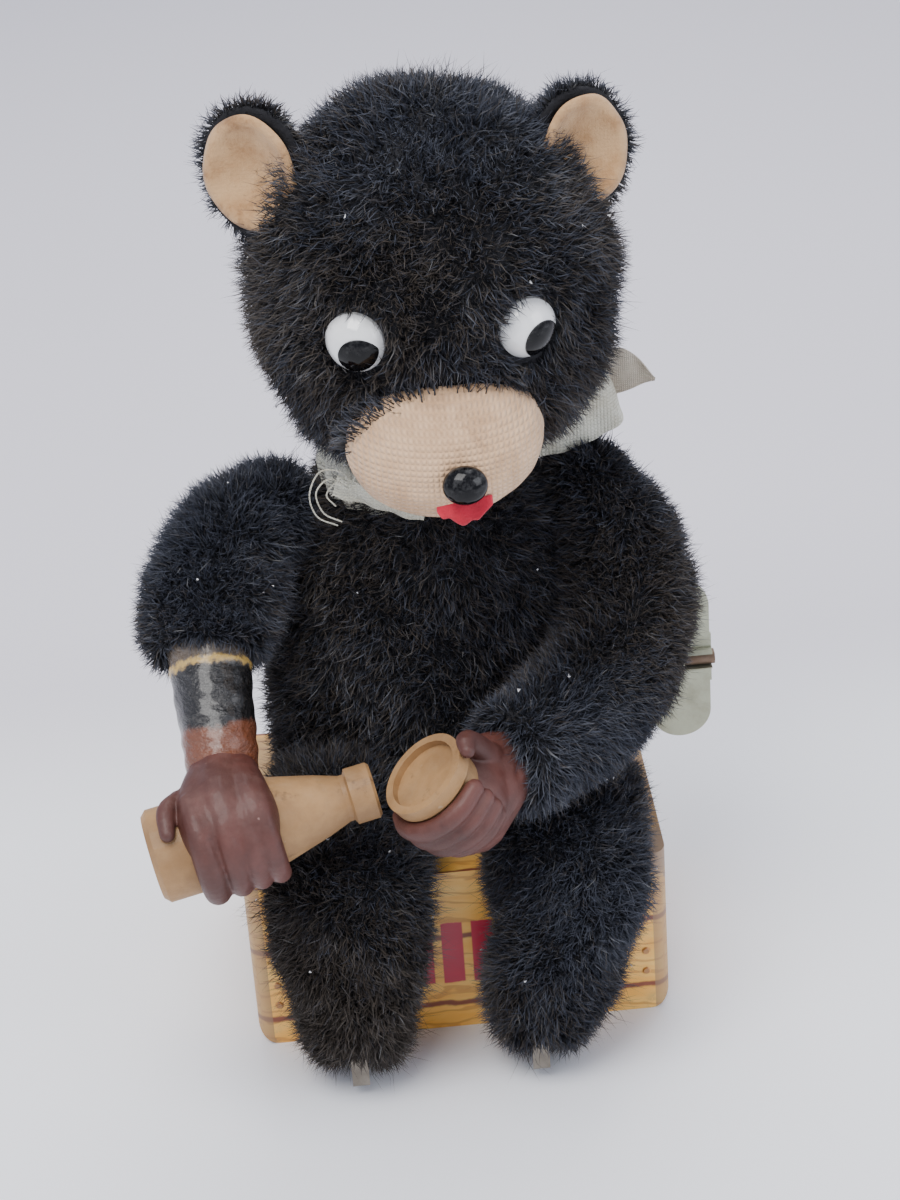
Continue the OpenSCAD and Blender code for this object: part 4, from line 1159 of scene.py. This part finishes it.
@dataclass(frozen=True)
class ForearmTape:
    """Clear tape wound round the forearm, wrinkled, with a lifted end."""

    rows: int = 60
    columns: int = 72

    def build(self, look: Looks) -> None:
        """Builds the wound tape with its wrap attribute."""
        share = np.linspace(0, 1, self.rows)
        turn = np.linspace(-180, 180, self.columns, endpoint=False)
        rng = np.random.default_rng(5)
        phase = rng.uniform(0, 2 * math.pi, 6)
        points, wrap = [], []
        for s in share:
            for a in turn:
                t = math.radians(a)
                wrinkle = 0.10 * math.sin(5 * t + 9 * s + phase[0]) + 0.07 * math.sin(3 * t - 23 * s + phase[1])
                wrinkle += 0.09 * math.sin(41 * s + 2 * math.sin(t + phase[2])) * (0.3 + s)
                wrinkle += 0.22 * math.exp(-(((s - 0.27 - 0.02 * math.sin(2 * t)) / 0.02) ** 2))
                lifted = 0.9 * math.exp(-(((a + 95) / 22) ** 2)) * max(0.0, 1 - 5 * s)
                radius = 7.75 + (6.45 - 7.75) * s + wrinkle + lifted
                ragged = 0.5 * math.sin(4 * t + phase[3]) + 0.4 * math.sin(9 * t + phase[4])
                along = 1.2 + (FOREARM_LENGTH - 0.6) * s + ragged * (s > 0.97)
                points.append(FOREARM.at(along, a, radius) * MM)
                wrap.append((s, (a + 180) / 360, 0.0))
        tape = from_points("forearm_tape_wound", np.array(points), grid_faces(self.rows, self.columns, True))
        held = tape.data.attributes.new("wrap", "FLOAT_VECTOR", "POINT")
        held.data.foreach_set("vector", np.array(wrap).ravel())
        smooth(tape, 180.0)
        finish_piece(tape, Body.BOTTLE_ARM, look["tape"], ("forearm_tape",))


# Degrees that each ear is turned outwards, stood up and spun about its own front
EAR_TURN = 22
EAR_LEAN = 82
EAR_SPIN = 14


@dataclass(frozen=True)
class EarLining:
    """A cupped felt lining, pinched where the ear meets the head."""

    node: str
    ear: str
    side: int
    centre: tuple[float, float, float]
    size: tuple[float, float] = (8.7, 10.2)

    def frame(self) -> Matrix:
        """The ear's own frame, with its front along local Z."""
        turned = Matrix.Rotation(math.radians(EAR_TURN * self.side), 4, "Z")
        raised = Matrix.Rotation(math.radians(EAR_LEAN), 4, "X")
        spun = Matrix.Rotation(math.radians(-EAR_SPIN * self.side), 4, "Z")
        return Matrix.Translation(Vector(self.centre) * MM) @ turned @ raised @ spun

    def front(self) -> tuple[float, float, float]:
        """The way that the ear's open side faces."""
        return tuple(self.frame().to_3x3() @ Vector((0, 0, 1)))

    def build(self, look: Looks) -> None:
        """Builds the felt dish with a wavy rolled rim."""
        rings, around = 22, 72
        rng = np.random.default_rng(60 + self.side)
        phase = rng.uniform(0, 2 * math.pi, 4)
        points = []
        for i in range(rings):
            reach = (i + 0.15) / (rings - 1 + 0.15)
            for j in range(around):
                t = 2 * math.pi * j / around
                low = max(0.0, -math.sin(t))
                wave = 1 + 0.018 * math.sin(3 * t + phase[0]) + 0.012 * math.sin(7 * t + phase[1])
                x = self.size[0] * reach * math.cos(t) * wave * (1 - 0.34 * low**2.2)
                y = self.size[1] * reach * math.sin(t) * wave
                cup = -1.3 + 4.2 * reach**2.0
                cup += 1.0 * reach**2 * math.cos(t) * -self.side
                cup += 0.16 * math.sin(5 * t + phase[2]) * reach**3
                roll = -1.1 * max(0.0, reach - 0.92) / 0.08
                points.append(self.frame() @ Vector((x * MM, y * MM, (cup + roll) * MM)))
        faces = [tuple(range(around))] + grid_faces(rings, around, True)
        dish = from_points(self.node + "_felt", np.array([tuple(q) for q in points]), faces)
        apply_modifier(dish, "SOLIDIFY", thickness=0.0007, offset=-1.0)
        activate(dish)
        bpy.ops.object.mode_set(mode="EDIT")
        bpy.ops.mesh.select_all(action="SELECT")
        bpy.ops.mesh.normals_make_consistent(inside=False)
        bpy.ops.object.mode_set(mode="OBJECT")
        smooth(dish, 180.0)
        finish_piece(dish, Body.HEAD, look["ear_felt"], (self.node,))


EARS = (
    EarLining("right_ear_lining", "right_ear", -1, (-24.5, -3.5, 168.0)),
    EarLining("left_ear_lining", "left_ear", 1, (31.3, -3.5, 166.5)),
)


@dataclass(frozen=True)
class RibbonStrip:
    """A length of woven ribbon: its middle line, its half width and the way across it."""

    name: str
    line: tuple[tuple[float, float, float], ...]
    half: tuple[float, ...]
    across: tuple[tuple[float, float, float], ...]
    ripple: float = 0.25
    closed: bool = False

    def build(self) -> Object:
        """Builds the strip as a thin closed sheet."""
        steps, columns = 8, 13
        line = smooth_line(np.array(self.line, float), steps)
        half = smooth_line(np.array(self.half, float)[:, None], steps)
        ways = unit(smooth_line(np.array(self.across, float), steps))
        facing = unit(np.cross(np.gradient(line, axis=0), ways))
        shares = np.linspace(-1, 1, columns)
        travel = np.concatenate([[0], np.cumsum(np.linalg.norm(np.diff(line, axis=0), axis=1))])
        points, wrap = [], []
        for i, middle in enumerate(line):
            for k in shares:
                long_wave = self.ripple * math.sin(travel[i] * 1.1 + k * 1.4)
                wave = long_wave + 0.5 * self.ripple * math.sin(k * 5 + i * 0.3)
                points.append((middle + ways[i] * half[i] * k + facing[i] * wave) * MM)
                wrap.append((k * half[i][0] * MM, travel[i] * MM, 0.0))
        strip = from_points(self.name, np.array(points), grid_faces(len(line), columns, False))
        held = strip.data.attributes.new("wrap", "FLOAT_VECTOR", "POINT")
        held.data.foreach_set("vector", np.array(wrap).ravel())
        apply_modifier(strip, "SOLIDIFY", thickness=0.0003, offset=0.0)
        smooth(strip, 50.0)
        return strip

    def flat(self) -> tuple[float, float]:
        """The ribbon's cut size in metres: twice its mean half width, and its length."""
        line = smooth_line(np.array(self.line, float), 8)
        length = float(np.linalg.norm(np.diff(line, axis=0), axis=1).sum())
        return max(2 * float(np.mean(self.half)), 10.0) * MM, length * MM


def ribbons(look: Looks) -> None:
    """Builds the collar, the bow's loop and tail, the knot's end and its loose threads."""
    middle_x, middle_y, middle_z = 1.35, 6, 109.6
    reach = 19.4
    ring = [(middle_x + reach * math.sin(a), middle_y - reach * math.cos(a), middle_z + 0.8 * math.sin(2 * a))
            for a in np.linspace(0, 2 * math.pi, 13)]
    collar = RibbonStrip("collar_ribbon_cloth", tuple(ring), (5.0,) * 13, ((0.0, 0.0, 1.0),) * 13, 0.6).build()
    finish_piece(collar, Body.BASE, look["ribbon"], ("collar_ribbon",))
    lean = (-0.30, -0.12, 0.94)
    loop = RibbonStrip(
        "collar_bow_loop",
        ((17, 1, 110.5), (24, 0.5, 112.5), (31, 2, 114.8), (36.6, 5.2, 116.2), (35.5, 9.2, 116.5), (27, 10, 114.5),
         (18, 7, 112)),
        (4.2, 5.9, 6.6, 6.3, 6.3, 6.0, 4.5), (lean,) * 7)
    piece = loop.build()
    finish_piece(piece, Body.BASE, look["ribbon"], ("collar_bow",))
    tail = RibbonStrip("collar_bow_tail", ((27, 7.5, 117), (33, 7.4, 119), (37.5, 7, 119.8), (41, 6.6, 119.4),
                                           (44.8, 6.2, 118.0)), (4.4, 4.9, 4.9, 3.1, 0.3),
                       ((0.2, 0.0, 0.97),) * 5)
    piece = tail.build()
    finish_piece(piece, Body.BASE, look["ribbon_tail"])
    threads = loose_threads(look)
    knot = RibbonStrip("collar_knot_end", ((-15.8, -14.0, 112.0), (-11, -15.8, 110.6), (-5, -17, 108.2),
                                           (0, -17, 106.4)), (2.5, 2.2, 1.9, 2.0), ((0.25, -0.3, 0.92),) * 4, 0.3)
    piece = knot.build()
    finish_piece(piece, Body.BASE, look["ribbon"])


def loose_threads(look: Looks) -> Object:
    """Builds the frayed threads that loop out of the ribbon's end."""
    paths = (
        ((-13.0, -16, 113.0), (-14.5, -19, 117.0), (-18.2, -19.5, 117.6), (-20.4, -19, 113.0), (-19.4, -19, 108.6),
         (-16.0, -18, 106.0)),
        ((-13.4, -16, 112.2), (-16.6, -19, 115.8), (-19.2, -19.6, 113.6), (-18.2, -19.4, 109.4), (-15.2, -18.6, 107.0)),
        ((-13.6, -15.6, 113.4), (-15.0, -18.0, 115.0), (-17.4, -18.6, 112.6), (-16.0, -18.6, 110.2)),
        ((-12.6, -15.4, 112.8), (-11.6, -17.0, 115.2), (-9.2, -17.6, 113.2)),
    )
    parts = [Stroke(tuple(np.array(q) for q in path), (0.15,) * len(path), 6, 7).build() for path in paths]
    threads = joined("collar_threads", parts)
    smooth(threads, 180.0)
    finish_piece(threads, Body.BASE, look["ribbon"])
    return threads


def nose_and_tongue(look: Looks) -> None:
    """Builds the glossy oval nose and the scrap of red felt under it."""
    deselect()
    way = Vector((0.02, -0.93, 0.24)).normalized()
    at = Vector((6.0, -44.9, 125.3)) + way * 0.5
    bpy.ops.mesh.primitive_uv_sphere_add(segments=64, ring_count=32, radius=MM, location=at * MM)
    nose = bpy.context.object
    nose.name = "nose_button_dome"
    nose.scale = (3.85, 3.35, 2.7)
    nose.rotation_euler = way.to_track_quat("Z", "Y").to_euler()
    settle(nose)
    smooth(nose, 180.0)
    finish_piece(nose, Body.HEAD, look["black"], ("nose_button",))
    columns, rows = 19, 9
    points = []
    lower = np.interp(np.linspace(0, 1, columns), (0, 0.1, 0.22, 0.36, 0.48, 0.6, 0.72, 0.86, 1),
                      (0.5, 0.8, 0.68, 0.9, 1.0, 0.82, 0.86, 0.55, 0.35))
    for i in range(rows):
        for j in range(columns):
            x = 1.0 + 9.6 * j / (columns - 1)
            down = lower[j] * 4.4 * i / (rows - 1)
            curl = 0.5 * math.sin(j * 0.7) * i / rows
            points.append((x * MM, (-43.3 - 0.35 * down + curl * 0.6 + 0.04 * (x - 6) ** 2) * MM,
                           (121.9 - down) * MM))
    tongue = from_points("mouth_felt_tongue", np.array(points), grid_faces(rows, columns, False))
    apply_modifier(tongue, "SOLIDIFY", thickness=0.0008, offset=0.0)
    apply_modifier(tongue, "SUBSURF", levels=1, render_levels=1)
    smooth(tongue, 180.0)
    finish_piece(tongue, Body.HEAD, look["red_felt"], ("mouth_felt",))


def muzzle_pad(look: Looks) -> None:
    """Builds the padded cloth muzzle, with the head's pile growing over its upper edge."""
    pad = copy_of("muzzle", "muzzle_pad")
    apply_modifier(pad, "REMESH", mode="VOXEL", voxel_size=0.0006)
    apply_modifier(pad, "SMOOTH", factor=0.6, iterations=10)
    smooth(pad, 180.0)
    finish_piece(pad, Body.HEAD, look["muzzle"], ("muzzle",))
    edge = ((-16.0, 94.0), (-13.0, 96.5), (-6.2, 100.8), (1.6, 103.3), (10.1, 103.8), (18.5, 103.6), (21.4, 100.2))
    brow = Pile(9000, length=0.0034, above=edge, seed=71).grow(pad, "muzzle_edge_pile")
    finish_piece(brow, Body.HEAD, look["pile"])


# ---- Looks ---------------------------------------------------------------------------------


FINISHES: dict[str, Finish] = {
    "litho": PrintedCrate("printed_tin"),
    "tin": Metal("tinned_sheet", (0.36, 0.34, 0.30), (0.16, 0.10, 0.06), 0.38, 0.6),
    "stay": Metal("leg_stay_steel", (0.24, 0.215, 0.18), (0.07, 0.05, 0.035), 0.34, 0.7),
    "steel": Metal("motor_steel", (0.50, 0.49, 0.47), (0.18, 0.12, 0.07), 0.30, 0.3),
    "spring": Metal("blued_spring", (0.10, 0.12, 0.18), (0.10, 0.06, 0.04), 0.25, 0.3),
    "brass": Metal("stamped_brass", (0.68, 0.47, 0.18), (0.24, 0.13, 0.05), 0.28, 0.4),
    "key": Metal("plated_key", (0.36, 0.37, 0.28), (0.17, 0.14, 0.08), 0.36, 0.45, 0.85),
    "arbor": Metal("rusty_arbor", (0.20, 0.14, 0.10), (0.12, 0.05, 0.02), 0.5, 0.8, 0.8),
    "pile": PileFinish("black_pile"),
    "backing": BackingFinish("pile_backing"),
    "skin_vinyl": Vinyl("brown_vinyl", (0.066, 0.018, 0.012), (0.112, 0.034, 0.025), (0.030, 0.008, 0.006),
                        (0.27, 0.16, 0.135), 0.42, 0.45, 0.14),
    "cream_vinyl": Vinyl("cream_vinyl", (0.27, 0.145, 0.055), (0.40, 0.225, 0.090), (0.10, 0.050, 0.020),
                         (0.42, 0.30, 0.18), 0.5, 0.85, 0.20),
    "milk": Vinyl("painted_milk", (0.56, 0.42, 0.22), (0.64, 0.52, 0.33), (0.26, 0.16, 0.07),
                  (0.66, 0.58, 0.46), 0.45, 0.5, 0.4),
    "muzzle": Cloth("muzzle_cloth", (0.80, 0.53, 0.32), (0.58, 0.35, 0.19), (0.34, 0.20, 0.11),
                    1050.0, 0.45, 1.5, (0.0176, -0.037, 0.1367, 0.0019), (0.16, 0.03, 0.02)),
    "ear_felt": Cloth("ear_felt", (0.58, 0.36, 0.18), (0.40, 0.21, 0.085), (0.17, 0.085, 0.035), 1500.0, 0.95, 0.1),
    "red_felt": Cloth("red_felt", (0.62, 0.010, 0.040), (0.40, 0.006, 0.022), (0.2, 0.01, 0.015), 1500.0, 0.3, 0.1),
    "ribbon": Cloth("ribbon_weave", (0.74, 0.73, 0.62), (0.58, 0.56, 0.44), (0.44, 0.36, 0.24), 1500.0, 0.35, 1.2),
    "white": Gloss("white_plastic", (0.86, 0.86, 0.85), (0.78, 0.79, 0.78), 0.07),
    "black": Gloss("black_plastic", (0.0015, 0.0015, 0.002), (0.003, 0.003, 0.004), 0.04, 0.22, 0.0),
    "tape": Tape("clear_tape"),
    "lint": Cloth("pale_lint", (0.75, 0.75, 0.76), (0.6, 0.6, 0.62), (0.4, 0.4, 0.4), 2000.0, 0.2, 0.1),
    "ribbon_tail": Cloth("ribbon_yellowed", (0.62, 0.55, 0.44), (0.50, 0.43, 0.33), (0.34, 0.27, 0.18),
                         2600.0, 0.4, 0.8),
}

NODE_LOOKS: dict[str, tuple[str, ...]] = {
    "litho": ("crate_shell",),
    "tin": ("crate_base_plate", "body_shell_front", "body_shell_back", "right_arm_stay", "left_arm_stay",
            "head_bracket", "head_form_front", "head_form_back"),
    "stay": ("right_leg_stay", "left_leg_stay"),
    "steel": ("frame_plate_right", "frame_plate_left", "frame_pillars", "frame_screws", "neck_post",
              "ratchet_wheel", "click", "cam_arbor", "bottle_cam", "cup_cam", "third_arbor", "escape_arbor",
              "verge", "right_shoulder_shaft", "left_shoulder_shaft", "head_pivot_pin"),
    "spring": ("mainspring",),
    "brass": ("great_wheel", "second_wheel", "third_wheel", "escape_wheel"),
    "key": ("winding_key",),
    "arbor": ("winding_arbor",),
    "skin_vinyl": ("right_forearm", "right_hand", "left_hand"),
    "cream_vinyl": ("milk_bottle", "milk_cup"),
    "muzzle": ("muzzle",),
    "ear_felt": ("right_ear_lining", "left_ear_lining"),
    "red_felt": ("mouth_felt",),
    "ribbon": ("collar_ribbon", "collar_bow"),
    "white": ("right_eye", "left_eye"),
    "black": ("right_pupil", "left_pupil", "nose_button"),
    "tape": ("forearm_tape",),
}


class Looks:
    """Every finish, built once."""

    def __init__(self) -> None:
        """Builds the shared effects and then each material."""
        effects = Effects()
        self.materials = {key: finish.make(effects) for key, finish in FINISHES.items()}

    def __getitem__(self, key: str) -> bpy.types.Material:
        """The material of that name."""
        return self.materials[key]

    def dress_nodes(self) -> None:
        """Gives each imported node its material."""
        for key, nodes in NODE_LOOKS.items():
            for node in nodes:
                for slot in FRAME["nodes"][node].material_slots:
                    slot.material = self.materials[key]


# ---- Studio --------------------------------------------------------------------------------


@dataclass
class Studio:
    """The table, the soft lights and the camera."""

    aim: tuple[float, float, float] = (0.003828, 0.0, 0.078752)
    distance: float = 0.52982
    elevation: float = 29.0
    turn: float = -2.191
    tilt: float = 4.114
    lens: float = 84.0

    def build(self) -> None:
        """Builds the whole studio."""
        self.table()
        self.lights()
        self.camera()

    def table(self) -> None:
        """A plain pale table, a little greyer behind the object."""
        deselect()
        bpy.ops.mesh.primitive_plane_add(size=6.0, location=(0, 0, 0))
        floor = bpy.context.object
        floor.name = "table"
        settle(floor)
        material = bpy.data.materials.new("pale_table")
        material.use_nodes = True
        g = Graph(material.node_tree)
        shader = material.node_tree.nodes["Principled BSDF"]
        cloud = g.noise(g.place(), 3.0, 4.0)
        near = g.blend(cloud, (0.92, 0.93, 0.97), (0.94, 0.95, 0.98))
        far = g.blend(cloud, (0.72, 0.70, 0.75), (0.75, 0.73, 0.78))
        away = g.ramp(g.parts(g.place())[1], 0.045, 0.12)
        g.put(shader.inputs["Base Color"], g.blend(away, near, far))
        shader.inputs["Roughness"].default_value = 0.55
        floor.data.materials.append(material)

    def lights(self) -> None:
        """A broad soft light above, a fill from the front right, a light from behind and an even sky."""
        world = bpy.data.worlds.new("studio_sky")
        world.use_nodes = True
        world.node_tree.nodes["Background"].inputs["Color"].default_value = (0.80, 0.84, 1.0, 1.0)
        world.node_tree.nodes["Background"].inputs["Strength"].default_value = 0.80
        bpy.context.scene.world = world
        self.area("key_light", (-0.25, -0.35, 0.95), 0.6, 10.5, (1.0, 0.98, 0.95))
        self.area("fill_light", (0.8, -0.5, 0.5), 0.6, 3.5, (0.92, 0.95, 1.0))
        self.area("back_light", (0.1, 0.45, 0.7), 0.5, 3.0, (1.0, 1.0, 1.0))

    @staticmethod
    def area(name: str, at: tuple[float, float, float], size: float, power: float, colour: Colour) -> None:
        """One square light that points at the object."""
        lamp = bpy.data.lights.new(name, "AREA")
        lamp.size = size
        lamp.energy = power
        lamp.color = colour
        holder = bpy.data.objects.new(name, lamp)
        holder.location = at
        way = Vector((0, 0, 0.09)) - Vector(at)
        holder.rotation_euler = way.to_track_quat("-Z", "Y").to_euler()
        bpy.context.scene.collection.objects.link(holder)

    def camera(self) -> None:
        """The camera, a little above the bear's eyes and slightly rolled."""
        high, turn, roll = (math.radians(v) for v in (self.elevation, self.turn, self.tilt))
        ahead = Vector((-math.sin(turn) * math.cos(high), math.cos(turn) * math.cos(high), -math.sin(high)))
        level = Vector((math.cos(turn), math.sin(turn), 0.0))
        upward = level.cross(ahead)
        right = math.cos(roll) * level - math.sin(roll) * upward
        top = math.sin(roll) * level + math.cos(roll) * upward
        data = bpy.data.cameras.new("view")
        data.lens = self.lens
        data.sensor_width = 36.0
        data.clip_start = 0.01
        camera = bpy.data.objects.new("view", data)
        spot = Vector(self.aim) - ahead * self.distance
        turned = Matrix((right, top, -ahead)).transposed().to_4x4()
        camera.matrix_world = Matrix.Translation(spot) @ turned
        bpy.context.scene.collection.objects.link(camera)
        bpy.context.scene.camera = camera


# ---- Assembly ------------------------------------------------------------------------------


def balls(node: str, radius: float) -> tuple[KeepOut, ...]:
    """A keep-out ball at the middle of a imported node's box."""
    low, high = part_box(node)
    middle = tuple((a + b) / 2 for a, b in zip(low, high))
    return (KeepOut(middle, radius),)


def plush_parts() -> list[PlushPart]:
    """The plush parts, with the strands that each carries."""
    face = balls("right_eye", 0.0062) + balls("left_eye", 0.0062) + balls("muzzle", 0.0145)
    feet = tuple(KeepOut((x, -0.0455, 0.006), 0.0042) for x in (-0.0212, 0.0143))
    return [
        PlushPart("head_plush", Body.HEAD, Pile(64000, keep_out=face, seed=11)),
        PlushPart("torso_plush", Body.BASE, Pile(62000, seed=23)),
        PlushPart("right_leg_plush", Body.BASE, Pile(40000, keep_out=feet, seed=31), fill=0.7),
        PlushPart("left_leg_plush", Body.BASE, Pile(40000, keep_out=feet, seed=37), fill=0.7),
        PlushPart("right_sleeve", Body.BOTTLE_ARM, Pile(30000, length=0.0037, seed=41), fill=0.7),
        PlushPart("left_sleeve", Body.CUP_ARM, Pile(44000, length=0.0037, seed=43), fill=0.7),
        *(PlushPart(ear.ear, Body.HEAD, Pile(9000, length=0.0030, bald_way=ear.front(), seed=50 + ear.side),
                    voxel=0.0005, relax=3) for ear in EARS),
    ]


def main() -> None:
    """Builds the studio, the finishes and each sub-assembly, in that order."""
    logging.basicConfig(level=logging.INFO, format="%(message)s")
    Studio().build()
    look = Looks()
    look.dress_nodes()
    for part in plush_parts():
        part.build(look)
    bottle_hand().build(look)
    cup_hand().build(look)
    ForearmTape().build(look)
    for ear in EARS:
        ear.build(look)
    muzzle_pad(look)
    nose_and_tongue(look)
    ribbons(look)


if __name__ == "__main__":
    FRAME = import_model()
    main()
